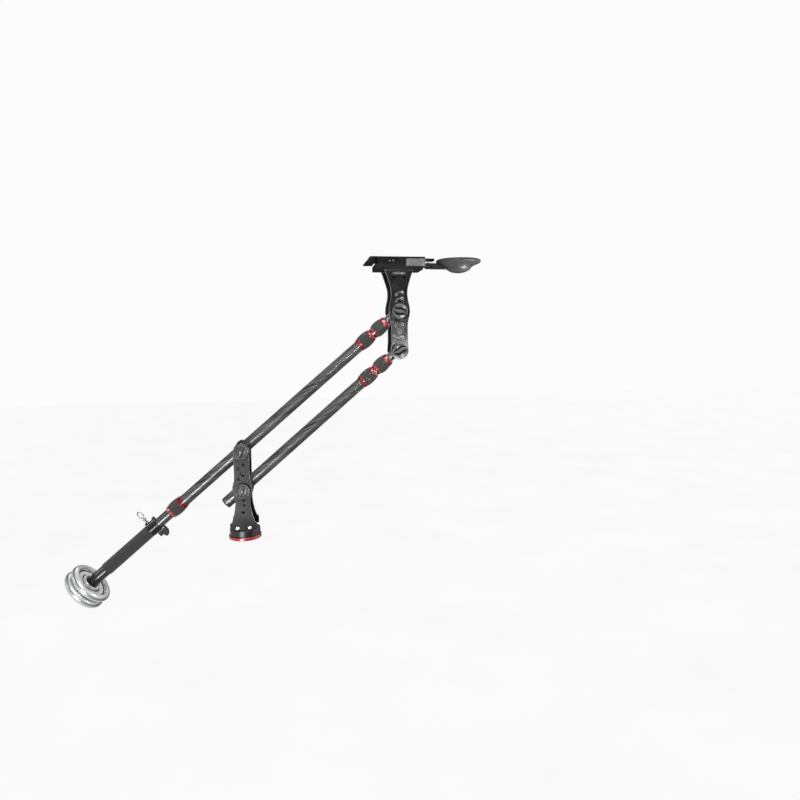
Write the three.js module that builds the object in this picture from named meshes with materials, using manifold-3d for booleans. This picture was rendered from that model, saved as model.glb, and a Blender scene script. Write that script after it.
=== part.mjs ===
// Telescopic camera jib crane: two parallel carbon tubes between a base bracket and a head bracket,
// a counterweight on the rear end of the upper tube and a quick-release camera clamp on the head.
// Millimetres, +Z up. Origin: centre of the underside of the red base ring, on the pan axis.
// +X points along the boom towards the camera head, the knobs are on the -Y side.

import * as THREE from 'three';
import { mergeVertices } from 'three/addons/utils/BufferGeometryUtils.js';
import Module from 'manifold-3d';

const wasm = await Module();
wasm.setup();

// ---------------------------------------------------------------- driving dimensions
const BOOM_ANGLE = THREE.MathUtils.degToRad(40.5); // elevation of the boom as stored
const PIVOT_HEIGHT = 125;   // lower base pivot above the underside of the ring
const PIVOT_SPACING = 96;   // upper pivot above lower pivot, at the base and at the head
const ARM = 515;            // pivot to pivot with both stages closed
const GAP = 0.3;            // running gap between pieces

const R_OUTER = 14;         // 28 mm tube
const R_MID = 12.5;         // 25 mm tube
const R_INNER = 11;         // 22 mm tube
const WALL = 1.2;

const PLATE_IN = 30;        // inner faces of the bracket plates from the mid plane
const PLATE_OUT = 34;       // outer faces
const R_STUD = 4;           // pivot studs, M8
const R_STUD_HOLE = 4.3;

const OUTER_END = 412;      // nominal front end of the outer tubes, along the boom from the pivot
const UPPER_SHIFT = -3.5;   // the upper tube's set of locks sits this much further back
const LOWER_SHIFT = 3;      // and the lower tube's this much further forward
const UPPER_TAIL = -211;    // rear end of the upper outer tube
const LOWER_TAIL = -55;     // rear end of the lower outer tube
const MID_END = 462;
const STAGE_HIDDEN = 410;   // length of each closed stage inside the tube before it
const INNER_END = 497.5;

const LOCK_R = 18.5;        // rubber of a twist lock
const LOCK1_START = 388;
const LOCK2_START = 433;
const LOCK2_END = 482;
const REAR_LOCK_START = -187;

const REAR_TUBE_FRONT = -37;
const REAR_TUBE_END = -448;
const COLLAR_FRONT = -269.5;
const COLLAR_REAR = -293;
const GRIP_END = -432;
const TAIL_TUBE_END = -471;
const R_GRIP = 15.6;
const THUMB_X = -286;       // thumb screw along the boom

const WEIGHT_MID = -483;  // middle of the front weight plate's rim
const WEIGHT_PITCH = 20.5;
const WEIGHT_R = 54;
const WEIGHT_RIM = 9.5;     // half thickness of the rim, fully rounded
const R_WEIGHT_STUD = 6;

const RING_R = 39.5;        // red base ring
const DISC_R = 37;          // black pan disc
const PLATE_FOOT = 25;      // bottom of the base plates
const THREAD_R = 4.76;      // 3/8 inch tripod thread

const HEAD_TOP = 101;       // top of the head plates above the upper head pivot
const CAMERA_FACE = 134;    // camera face above the upper head pivot
const HANDLE_PIN_X = 80;
const PALM_X = 158.4;
const PALM_R = 57;

const T = 16;               // sides of the tubes and of everything that runs on them

// ---------------------------------------------------------------- materials
function paint(color, roughness, metalness) {
  return () => new THREE.MeshStandardMaterial({ color, roughness, metalness });
}
const carbon = paint(0x2b2d2f, 0.3, 0.1);
const red = paint(0xb0141c, 0.3, 0.9);
const rubberGrey = paint(0x3a3a3a, 0.8, 0.0);
const foamGrey = paint(0x3f3f40, 0.95, 0.0);
const bracketGrey = paint(0x45464a, 0.55, 0.5);
const bracketBlack = paint(0x1c1c1e, 0.5, 0.4);
const glossBlack = paint(0x0d0d0e, 0.2, 0.2);
const satinBlack = paint(0x222224, 0.5, 0.1);
const knobGrey = paint(0x4a4b4e, 0.45, 0.3);
const steel = paint(0xb8babd, 0.3, 1.0);
const chrome = paint(0xe2e4e6, 0.08, 1.0);
const brass = paint(0xb59a55, 0.35, 1.0);
const nylon = paint(0xe4e2da, 0.6, 0.0);
const alloy = paint(0x8d8f92, 0.4, 0.9);
const plastic = paint(0x1a1a1a, 0.6, 0.0);

// ---------------------------------------------------------------- geometry helpers
// One closed surface with merged corners, no slivers of zero area and its faces pointing out.
function tidy(source) {
  const g = source.clone();
  for (const extra of ['normal', 'uv']) if (g.attributes[extra]) g.deleteAttribute(extra);
  const m = mergeVertices(g, 1e-4);
  const p = m.attributes.position;
  const index = m.index.array;
  const kept = [];
  const a = new THREE.Vector3();
  const b = new THREE.Vector3();
  const c = new THREE.Vector3();
  let volume = 0;
  for (let i = 0; i < index.length; i += 3) {
    const [i0, i1, i2] = [index[i], index[i + 1], index[i + 2]];
    if (i0 === i1 || i1 === i2 || i0 === i2) continue;
    a.fromBufferAttribute(p, i0);
    b.fromBufferAttribute(p, i1);
    c.fromBufferAttribute(p, i2);
    volume += a.dot(b.cross(c));
    kept.push(i0, i1, i2);
  }
  if (volume < 0) for (let i = 0; i < kept.length; i += 3) [kept[i], kept[i + 1]] = [kept[i + 1], kept[i]];
  m.setIndex(kept);
  return m;
}

function solid(geometry) {
  const g = tidy(geometry);
  return new wasm.Manifold(new wasm.Mesh({
    numProp: 3,
    vertProperties: new Float32Array(g.attributes.position.array),
    triVerts: new Uint32Array(g.index.array),
  }));
}

function shapeOf(body) {
  const m = body.getMesh();
  const g = new THREE.BufferGeometry();
  g.setAttribute('position', new THREE.BufferAttribute(new Float32Array(m.vertProperties), 3));
  g.setIndex(Array.from(m.triVerts));
  return g;
}

const join = (first, ...rest) => rest.reduce((sum, g) => sum.add(solid(g)), solid(first));
const cut = (body, ...tools) => tools.reduce((sum, g) => sum.subtract(solid(g)), body);

// A turned piece. Points are [position along the axis, radius]; the profile closes on itself
// unless it starts and ends on the axis.
function turned(axis, points, sides) {
  const onAxis = points[0][1] === 0 && points[points.length - 1][1] === 0;
  const list = onAxis ? points : [...points, points[0]];
  const g = new THREE.LatheGeometry(list.map(([along, r]) => new THREE.Vector2(r, along)), sides);
  if (axis === 'x') g.rotateZ(-Math.PI / 2);
  if (axis === 'z') g.rotateX(Math.PI / 2);
  return g;
}

const rod = (axis, from, to, r, sides) => turned(axis, [[from, 0], [from, r], [to, r], [to, 0]], sides);
const pipe = (axis, from, to, rOut, rIn, sides) =>
  turned(axis, [[from, rIn], [from, rOut], [to, rOut], [to, rIn]], sides);

function block(x0, x1, y0, y1, z0, z1) {
  const g = new THREE.BoxGeometry(x1 - x0, y1 - y0, z1 - z0);
  g.translate((x0 + x1) / 2, (y0 + y1) / 2, (z0 + z1) / 2);
  return g;
}

// An outline in X and Z, pushed through from y0 to y1.
function slab(outline, y0, y1, holes = []) {
  const shape = new THREE.Shape(outline.map(([x, z]) => new THREE.Vector2(x, z)));
  for (const [x, z, r, n] of holes) {
    const ring = [];
    for (let i = 0; i < n; i++) {
      const t = -2 * Math.PI * (i / n) + Math.PI / n;
      ring.push(new THREE.Vector2(x + r * Math.cos(t), z + r * Math.sin(t)));
    }
    shape.holes.push(new THREE.Path(ring));
  }
  const g = new THREE.ExtrudeGeometry(shape, { depth: y1 - y0, bevelEnabled: false, steps: 1 });
  g.rotateX(Math.PI / 2);
  g.translate(0, y1, 0);
  return g;
}

const crane = new THREE.Group();

function place(group, name, geometry, finish) {
  const mesh = new THREE.Mesh(tidy(geometry), finish());
  mesh.name = name;
  group.add(mesh);
  return mesh;
}

// ---------------------------------------------------------------- tripod interface and pan joint
const base = new THREE.Group();
crane.add(base);

// Red ring with a hollow spindle that carries the pan disc.
place(base, 'tripod_ring', turned('z', [
  [0, 7.3], [0, RING_R - 1], [1, RING_R], [7, RING_R], [8, RING_R - 0.8], [8, 10], [21, 10], [21, 7.3],
], 24), red);
place(base, 'thread_insert', pipe('z', GAP, 20, 7, THREAD_R, 24), brass);
place(base, 'pan_washer', pipe('z', 8.3, 9.6, 29.5, 10.4, 24), nylon);
place(base, 'pan_nut', pipe('z', 18.3, 22.5, 16.5, 10.3, 24), steel);
place(base, 'pan_disc', turned('z', [
  [8.4, 30.5], [8.4, DISC_R - 1], [9.4, DISC_R], [PLATE_FOOT - 1.3, DISC_R], [PLATE_FOOT - GAP, DISC_R - 1],
  [PLATE_FOOT - GAP, 17], [18, 17], [18, 10.4], [9.9, 10.4], [9.9, 30.5],
], 24), glossBlack);

// ---------------------------------------------------------------- base bracket
const BASE_BOLTS = [[-14.2, 32.5], [14.2, 32.5]];
place(base, 'base_block', shapeOf(cut(
  join(block(-22, 22, -PLATE_IN + GAP, PLATE_IN - GAP, PLATE_FOOT, 42)),
  ...BASE_BOLTS.map(([x, z]) => rod('y', -40, 40, 3.3, 12).translate(x, 0, z)),
)), alloy);

// Half widths of the base plate from the foot up to the upper pivot.
const BASE_SIDE = [
  [25, 32.4], [43, 32.4], [46.5, 27.6], [60, 23.3], [75, 20], [92, 17.6], [104, 18.4], [115, 21.8], [126, 24],
  [138, 22.8], [149, 19.4], [160, 18.4], [205, 18.6],
];
function lobe(cx, cz, r, from, to, n) {
  const list = [];
  for (let i = 0; i <= n; i++) {
    const t = THREE.MathUtils.degToRad(from + (to - from) * (i / n));
    list.push([cx + r * Math.cos(t), cz + r * Math.sin(t)]);
  }
  return list;
}
const UPPER_PIVOT = PIVOT_HEIGHT + PIVOT_SPACING;
const baseOutline = [
  ...BASE_SIDE.map(([z, w]) => [w, z]),
  ...lobe(0, UPPER_PIVOT, 19.4, 0, 180, 10),
  ...BASE_SIDE.map(([z, w]) => [-w, z]).reverse(),
];
const baseHoles = [
  [0, UPPER_PIVOT, R_STUD_HOLE, 12], [0, PIVOT_HEIGHT, R_STUD_HOLE, 12],
  ...BASE_BOLTS.map(([x, z]) => [x, z, 3.3, 12]),
  ...[[3.8, 188.6], [-8.4, 180], [-1, 167.5], [2.8, 162], [-8.5, 153.5], [2.8, 100.7], [3.4, 88.2], [0.7, 70.6]]
    .map(([x, z]) => [x, z, 2.2, 6]),
];
place(base, 'base_plate_near', slab(baseOutline, -PLATE_OUT, -PLATE_IN, baseHoles), bracketGrey);
place(base, 'base_plate_far', slab(baseOutline, PLATE_IN, PLATE_OUT, baseHoles), bracketGrey);

function throughBolt(head, thick) {
  const y = PLATE_OUT + GAP;
  return turned('y', [
    [-y - thick, 0], [-y - thick, head], [-y, head], [-y, 3], [y, 3], [y, head], [y + thick, head], [y + thick, 0],
  ], 8);
}
BASE_BOLTS.forEach(([x, z], i) => {
  place(base, `base_bolt_${i + 1}`, throughBolt(4.8, 3).translate(x, 0, z), steel);
});

// ---------------------------------------------------------------- pivots
// A round carrier between the plates, with a spacer and a stud on each side, for one tube end or one tube.
function studs() {
  return [
    turned('y', [[-PLATE_OUT - 9.3, 0], [-PLATE_OUT - 9.3, R_STUD], [-PLATE_IN + GAP, R_STUD], [-PLATE_IN + GAP, 10], [-17, 10], [-17, 0]], 12),
    turned('y', [[17, 0], [17, 10], [PLATE_IN - GAP, 10], [PLATE_IN - GAP, R_STUD], [PLATE_OUT + 4.5, R_STUD], [PLATE_OUT + 4.5, 0]], 12),
  ];
}
function saddle() {
  const [near, far] = studs();
  return shapeOf(cut(
    join(rod('y', -20, 20, 19, 18)),
    rod('x', -30, 30, R_OUTER + GAP, T),
  ).add(solid(near)).add(solid(far)));
}
// The end fitting of an inner tube: plug, round eye and studs, with the eye's centre at x = ARM.
function headEye() {
  const [near, far] = studs();
  return shapeOf(join(
    rod('y', -18, 18, 17, 16).translate(ARM, 0, 0),
    rod('x', 470, 506, R_INNER - WALL - GAP, T),
    near.translate(ARM, 0, 0),
    far.translate(ARM, 0, 0),
  ));
}
// Clamping knob: round flange, centre boss and a raised bar across it, with a blind bore.
function knob(r, turn) {
  const y = -PLATE_OUT - GAP;
  const bar = block(-r + 1.5, r - 1.5, y - 13.5, y - 4, -4.5, 4.5);
  bar.rotateY(-THREE.MathUtils.degToRad(turn));
  return shapeOf(cut(
    join(turned('y', [[y - 6, 0], [y - 6, r - 1.5], [y - 4.5, r], [y, r], [y, 0]], 20), bar,
      rod('y', y - 12, y - 3, 8.5, 12)),
    rod('y', y - 10, y + 1, R_STUD_HOLE, 12),
  ));
}
function pivotNut() {
  const y = PLATE_OUT + GAP;
  return turned('y', [
    [PLATE_OUT + 5, 0], [PLATE_OUT + 5, R_STUD_HOLE], [y, R_STUD_HOLE], [y, 9], [y + 4.6, 8.6], [y + 7, 5.5], [y + 7, 0],
  ], 12);
}

const upper = new THREE.Group();
upper.position.set(0, 0, UPPER_PIVOT);
upper.rotation.y = -BOOM_ANGLE;
crane.add(upper);
const lower = new THREE.Group();
lower.position.set(0, 0, PIVOT_HEIGHT);
lower.rotation.y = -BOOM_ANGLE;
crane.add(lower);

place(upper, 'upper_saddle', saddle(), alloy);
place(lower, 'lower_saddle', saddle(), alloy);
place(upper, 'base_upper_nut', pivotNut(), steel);
place(lower, 'base_lower_nut', pivotNut(), steel);
place(upper, 'base_upper_knob', knob(18, 0), knobGrey);
place(lower, 'base_lower_knob', knob(18, 0), knobGrey);
place(upper, 'upper_head_eye', headEye(), alloy);
place(lower, 'lower_head_eye', headEye(), alloy);
place(upper, 'head_upper_nut', pivotNut().translate(ARM, 0, 0), steel);
place(lower, 'head_lower_nut', pivotNut().translate(ARM, 0, 0), steel);
place(upper, 'head_upper_knob', knob(19, -60).translate(ARM, 0, 0), knobGrey);
place(lower, 'head_lower_knob', knob(19, -25).translate(ARM, 0, 0), knobGrey);

// ---------------------------------------------------------------- telescopic tubes and twist locks
// A split collet: a thin sleeve with a slot down one side.
function collet(from, to, rOut, rIn) {
  return shapeOf(cut(join(pipe('x', from, to, rOut, rIn, T)), block(from - 1, to + 1, -1.2, 1.2, rIn - 1, rOut + 1)));
}
// Twist lock at the end of a tube. Points run outside front to back, then the stepped bore.
function twistLock(profile) {
  return turned('x', profile, T);
}
const LOCK1 = [
  [LOCK1_START, R_OUTER + GAP], [LOCK1_START, 15.6], [402, LOCK_R], [423, LOCK_R], [432, 15.4],
  [432, R_MID + GAP], [429, R_MID + GAP], [429, 15.4], [OUTER_END + GAP, 15.4], [OUTER_END + GAP, R_OUTER + GAP],
];
const LOCK2 = [
  [LOCK2_START, R_MID + GAP], [LOCK2_START, 13.9], [439, 13.9], [446.5, LOCK_R], [467.5, LOCK_R], [480, 16], [LOCK2_END, 14.4],
  [LOCK2_END, R_INNER + GAP], [478.7, R_INNER + GAP], [478.7, 14], [MID_END + GAP, 14], [MID_END + GAP, R_MID + GAP],
];
for (const [group, name, tail, shift] of [[upper, 'upper', UPPER_TAIL, UPPER_SHIFT], [lower, 'lower', LOWER_TAIL, LOWER_SHIFT]]) {
  const moved = (g) => g.translate(shift, 0, 0);
  place(group, `${name}_tube`, pipe('x', tail, OUTER_END + shift, R_OUTER, R_OUTER - WALL, T), carbon);
  place(group, `${name}_collet_1`, moved(collet(OUTER_END + 0.6, 428.6, 15.1, R_MID + GAP)), plastic);
  place(group, `${name}_lock_1`, moved(twistLock(LOCK1)), red);
  place(group, `${name}_mid_tube`, moved(pipe('x', OUTER_END - STAGE_HIDDEN, MID_END, R_MID, R_MID - WALL, T)), carbon);
  place(group, `${name}_collet_2`, moved(collet(MID_END + 0.6, 478.3, 13.7, R_INNER + GAP)), plastic);
  place(group, `${name}_lock_2`, moved(twistLock(LOCK2)), red);
  place(group, `${name}_inner_tube`, pipe('x', MID_END - STAGE_HIDDEN + shift, INNER_END, R_INNER, R_INNER - WALL, T), carbon);
}
place(lower, 'lower_end_cap', turned('x', [
  [LOWER_TAIL - 3, 0], [LOWER_TAIL - 3, 13], [LOWER_TAIL - 2, R_OUTER], [LOWER_TAIL - GAP, R_OUTER], [LOWER_TAIL - GAP, R_MID],
  [LOWER_TAIL + 8, R_MID], [LOWER_TAIL + 8, 0],
], T), glossBlack);

// ---------------------------------------------------------------- rear section
place(upper, 'rear_lock', twistLock([
  [REAR_LOCK_START, R_OUTER + GAP], [REAR_LOCK_START, 15.6], [-199.5, LOCK_R], [-221, LOCK_R], [-231, 15.4],
  [-231, R_MID + GAP], [-228, R_MID + GAP], [-228, 15.4], [UPPER_TAIL - GAP, 15.4], [UPPER_TAIL - GAP, R_OUTER + GAP],
]), red);
place(upper, 'rear_collet', collet(-227.6, UPPER_TAIL - 0.6, 15.1, R_MID + GAP), plastic);
place(upper, 'rear_tube', pipe('x', REAR_TUBE_END, REAR_TUBE_FRONT, R_MID, R_MID - WALL, T), carbon);

// The tail tube slides over the rear tube and carries the grip and the weights.
const thumbHole = () => rod('z', 8, 26, 3.3, 12).translate(THUMB_X, 0, 0);
place(upper, 'tail_tube', shapeOf(cut(
  join(pipe('x', TAIL_TUBE_END, -273.5, R_OUTER, R_OUTER - WALL, T)), thumbHole(),
)), glossBlack);
place(upper, 'tail_grip', pipe('x', GRIP_END, COLLAR_REAR - GAP, R_GRIP, R_OUTER + GAP, T), foamGrey);

// Split collar: pad for the thumb screw above, split ears with a hook below.
const hook = slab([
  [-285.5, -14], [-285.5, -27], [-281.5, -28.5], [-279, -26], [-273.5, -38], [-268.5, -34], [-263, -27], [-263, -14],
], -5.5, 5.5);
place(upper, 'tail_collar', shapeOf(cut(
  join(
    rod('x', COLLAR_REAR, COLLAR_FRONT, 16.4, T),
    block(-292, -267.8, -8.5, 8.5, 10, 17.6),
    block(-292, -288.9, -8.5, 8.5, 10, 21),
    block(-270.9, -267.8, -8.5, 8.5, 10, 21),
    hook,
  ),
  rod('x', COLLAR_REAR - 2, -273.2, R_OUTER + GAP, T),
  rod('x', -273.5, COLLAR_FRONT + 10, R_MID + GAP, T),
  block(-300, -250, -0.9, 0.9, -40, -10),
  thumbHole(),
)), satinBlack);

// Thumb screw with an oval loop for a head.
function oval(cx, cz, rx, rz, n) {
  const list = [];
  for (let i = 0; i < n; i++) {
    const t = 2 * Math.PI * (i / n);
    list.push([cx + rx * Math.cos(t), cz + rz * Math.sin(t)]);
  }
  return list;
}
place(upper, 'tail_thumb_screw', shapeOf(cut(
  join(
    rod('z', 13.3, 36, 3, 10).translate(THUMB_X, 0, 0),
    rod('z', 28.5, 31.5, 5, 10).translate(THUMB_X, 0, 0),
    slab(oval(THUMB_X, 43.5, 7, 10.5, 14), -2.2, 2.2),
  ),
  slab(oval(THUMB_X, 44, 3.9, 7.2, 12), -5, 5),
)), steel);

place(upper, 'tail_plug', turned('x', [
  [-451, 0], [-451, R_MID], [TAIL_TUBE_END - GAP, R_MID], [TAIL_TUBE_END - GAP, 14.2], [-478.5, 16.3], [-480.8, 15.4],
  [-480.8, R_WEIGHT_STUD], [-531, R_WEIGHT_STUD], [-531, 0],
], T), glossBlack);

// Weight plate: rounded rim, dished front, raised hub, and a hub behind that nests in the next plate.
function weightPlate(mid) {
  const centre = WEIGHT_R - WEIGHT_RIM;
  const rim = [];
  for (let i = 0; i <= 4; i++) {
    const t = THREE.MathUtils.degToRad(180 - 45 * i);
    rim.push([mid + WEIGHT_RIM * Math.cos(t), centre + WEIGHT_RIM * Math.sin(t)]);
  }
  return turned('x', [
    ...rim, [mid + 8.8, 42.2], [mid - 2, 39], [mid - 2, 20.5], [mid + 1.9, 20.5], [mid + 1.9, R_WEIGHT_STUD + GAP],
    [mid - 18.3, R_WEIGHT_STUD + GAP], [mid - 18.3, 18], [mid - 8.5, 18], [mid - 8.5, 41],
  ], 24);
}
place(upper, 'weight_front', weightPlate(WEIGHT_MID), chrome);
place(upper, 'weight_rear', weightPlate(WEIGHT_MID - WEIGHT_PITCH), chrome);
place(upper, 'weight_nut', turned('x', [
  [-522.1, R_WEIGHT_STUD + GAP], [-522.1, 14], [-530.5, 14], [-532, 12.5], [-532, R_WEIGHT_STUD + GAP],
], T), steel);

// ---------------------------------------------------------------- head bracket
const head = new THREE.Group();
head.position.set(ARM * Math.cos(BOOM_ANGLE), 0, UPPER_PIVOT + ARM * Math.sin(BOOM_ANGLE));
crane.add(head);

// Half widths of the head plate from the lower pivot up to its top edge.
const HEAD_SIDE = [
  [-85, 21.6], [-73, 20.6], [-37, 20.6], [-25, 21.6], [-12, 25], [0, 26.8], [13, 25.6], [29, 21.8], [44, 20.2],
  [57, 21.6], [70, 25], [83, 29.2], [93, 32.6], [HEAD_TOP, 36],
];
const headOutline = [
  ...lobe(0, -PIVOT_SPACING, 22.4, 180, 360, 10),
  ...HEAD_SIDE.map(([z, w]) => [w, z]),
  ...HEAD_SIDE.map(([z, w]) => [-w, z]).reverse(),
];
const HEAD_BOLTS = [[-13, 82.5], [13, 82.5]];
const headHoles = [
  [0, 0, R_STUD_HOLE, 12], [0, -PIVOT_SPACING, R_STUD_HOLE, 12],
  ...HEAD_BOLTS.map(([x, z]) => [x, z, 3.3, 12]),
  ...[[7.5, 47], [-7.5, 40], [7, 31.5], [-8, 25], [7.5, -32.5], [-7.5, -39], [-2, -46], [1.5, -52.5], [7.5, -63.5], [-8.5, -68.5]]
    .map(([x, z]) => [x, z, 2.2, 6]),
];
const slot = () => block(-15.5, 15.5, -40, 40, 90.8, 94.2);
place(head, 'head_plate_near', shapeOf(cut(join(slab(headOutline, -PLATE_OUT, -PLATE_IN, headHoles)), slot())), bracketBlack);
place(head, 'head_plate_far', shapeOf(cut(join(slab(headOutline, PLATE_IN, PLATE_OUT, headHoles)), slot())), bracketBlack);
place(head, 'head_block', shapeOf(cut(
  join(block(-20, 20, -PLATE_IN + GAP, PLATE_IN - GAP, 76, HEAD_TOP - GAP)),
  ...HEAD_BOLTS.map(([x, z]) => rod('y', -40, 40, 3.3, 12).translate(x, 0, z)),
)), alloy);
HEAD_BOLTS.forEach(([x, z], i) => {
  place(head, `head_bolt_${i + 1}`, throughBolt(4.2, 1.2).translate(x, 0, z), satinBlack);
});

// ---------------------------------------------------------------- camera clamp, sliding plate and palm handle
place(head, 'clamp_base', shapeOf(cut(
  join(
    block(-58, 60, -PLATE_OUT, PLATE_OUT, HEAD_TOP + GAP, 115),
    block(58, HANDLE_PIN_X, -8, 8, 110, 115),
    rod('z', 110, 115, 8, 16).translate(HANDLE_PIN_X, 0, 0),
  ),
  rod('z', 100, 120, 3.3, 12).translate(HANDLE_PIN_X, 0, 0),
  block(17.7, 70, -40, -27.2, 109.4, 120),
)), bracketBlack);

place(head, 'clamp_body', shapeOf(cut(
  join(block(-52, 67, -30, 30, 115.3, 128.7), block(0, 15, -34, -28, 115.3, 128.7)),
  block(-60, 80, -18.3, 18.3, 121.2, 140),
  block(17.7, 80, -40, -18, 110, 140),
)), bracketBlack);

place(head, 'clamp_jaw', shapeOf(join(
  block(18, 67, -33, -18.3, 115.6, 128.7),
  block(18, 67, -33, -27.5, 109.7, 128),
)), alloy);

place(head, 'camera_plate', shapeOf(cut(
  join(
    block(-70, 68, -26, 26, 129, CAMERA_FACE),
    slab([[-60, 116], [-60, CAMERA_FACE], [-68, CAMERA_FACE], [-82, 119], [-82, 116]], -26, 26),
    block(-61, 68, -18, 18, 121.5, 130),
    block(66, 94, -11, 11, 126, 132),
  ),
  block(-28, 28, -3.6, 3.6, 110, 140),
  block(-36, 36, -8.6, 8.6, 110, 127),
)), bracketBlack);

place(head, 'camera_screw', turned('z', [
  [122, 0], [122, 7.8], [126.7, 7.8], [126.7, 3.17], [133.6, 3.17], [133.6, 0],
], 16), steel);

// Palm handle: a saucer with a domed underside on a forked stalk that swings about an upright pin.
place(head, 'palm_handle', shapeOf(cut(
  join(
    turned('z', [
      [97, 0], [99, 15.5], [105, 28], [113.5, 35], [122.5, 54.5], [126.5, PALM_R], [130, 55], [130, 50], [127.6, 27], [127.2, 0],
    ], 20).translate(PALM_X, 0, 0),
    block(HANDLE_PIN_X, 130, -8, 8, 107, 121),
    rod('z', 107, 121, 8, 16).translate(HANDLE_PIN_X, 0, 0),
  ),
  block(60, 88.8, -12, 12, 109.7, 115.3),
  rod('z', 100, 130, 3.3, 12).translate(HANDLE_PIN_X, 0, 0),
)), satinBlack);
place(head, 'handle_pin', turned('z', [
  [106.6, 0], [106.6, 3], [121.3, 3], [121.3, 4.6], [122.6, 4.6], [122.6, 0],
], 12).translate(HANDLE_PIN_X, 0, 0), steel);

export default crane;
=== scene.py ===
import math

import bmesh
import bpy
from mathutils import Matrix, Vector


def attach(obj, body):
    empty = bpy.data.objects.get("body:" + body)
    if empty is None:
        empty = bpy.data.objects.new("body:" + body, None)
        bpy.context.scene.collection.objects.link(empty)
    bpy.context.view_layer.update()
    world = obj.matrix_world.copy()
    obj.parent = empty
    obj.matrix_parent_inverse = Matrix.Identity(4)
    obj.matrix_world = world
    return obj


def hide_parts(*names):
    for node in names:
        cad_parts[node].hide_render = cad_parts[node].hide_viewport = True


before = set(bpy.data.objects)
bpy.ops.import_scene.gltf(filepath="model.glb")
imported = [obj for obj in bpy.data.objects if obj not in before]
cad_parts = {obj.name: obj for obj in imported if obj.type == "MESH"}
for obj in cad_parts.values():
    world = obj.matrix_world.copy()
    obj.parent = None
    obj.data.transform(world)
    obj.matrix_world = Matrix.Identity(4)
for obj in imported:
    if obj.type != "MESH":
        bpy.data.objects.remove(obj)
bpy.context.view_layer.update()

# ------------------------------------------------------------------ frames
# Shapes are written in millimetres in the frame of the bracket or tube that they belong to, and stored in metres.
MM = 0.001
BOOM = math.radians(40.5)
LOWER_Z, UPPER_Z, ARM = 125.0, 221.0, 515.0
PLATE_IN, PLATE_OUT = 30.0, 34.0
HEAD_X = ARM * math.cos(BOOM)
HEAD_Z = UPPER_Z + ARM * math.sin(BOOM)


BASE = (0, 0, 0)
UPPER = (0, UPPER_Z, BOOM)
LOWER = (0, LOWER_Z, BOOM)
HEAD = (HEAD_X, HEAD_Z, 0)

# ------------------------------------------------------------------ camera, floor and light
scene = bpy.context.scene
scene.view_settings.view_transform = "Standard"
scene.view_settings.look = "None"

CAM_AT = Vector((0.1503, -1.5067, 0.4796))
YAW, PITCH, ROLL = math.radians(9.259), math.radians(5.501), math.radians(-0.665)
ahead = Vector((math.sin(YAW) * math.cos(PITCH), math.cos(YAW) * math.cos(PITCH), -math.sin(PITCH)))
right = Vector((math.cos(YAW), -math.sin(YAW), 0))
up = right.cross(ahead)
right_r = right * math.cos(ROLL) + up * math.sin(ROLL)
up_r = up * math.cos(ROLL) - right * math.sin(ROLL)
camera_data = bpy.data.cameras.new("camera")
camera_data.sensor_fit = "HORIZONTAL"
camera_data.sensor_width = 36.0
camera_data.lens = 27.0
camera_data.clip_start, camera_data.clip_end = 0.01, 200.0
camera = bpy.data.objects.new("camera", camera_data)
scene.collection.objects.link(camera)
camera.matrix_world = Matrix((
    (right_r.x, up_r.x, -ahead.x, CAM_AT.x),
    (right_r.y, up_r.y, -ahead.y, CAM_AT.y),
    (right_r.z, up_r.z, -ahead.z, CAM_AT.z),
    (0, 0, 0, 1),
))
scene.camera = camera


# ------------------------------------------------------------------ node helpers
def node(tree, kind, inputs=None, **settings):
    n = tree.nodes.new(kind)
    for key, value in settings.items():
        setattr(n, key, value)
    for key, value in (inputs or {}).items():
        socket = n.inputs[key]
        if isinstance(value, bpy.types.NodeSocket):
            tree.links.new(value, socket)
        else:
            socket.default_value = value
    return n


def math_node(tree, operation, a, b=0.0, clamp=False):
    return node(tree, "ShaderNodeMath", {0: a, 1: b}, operation=operation, use_clamp=clamp).outputs[0]


def ramp(tree, fac, stops):
    n = node(tree, "ShaderNodeValToRGB", {"Fac": fac})
    r = n.color_ramp
    while len(r.elements) < len(stops):
        r.elements.new(0.5)
    for element, (position, colour) in zip(r.elements, stops):
        element.position = position
        element.color = (*colour, 1.0) if len(colour) == 3 else colour
    return n.outputs["Color"]


def grey(v, tint=(1.0, 1.0, 1.0)):
    return tuple(v * t for t in tint)


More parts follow.
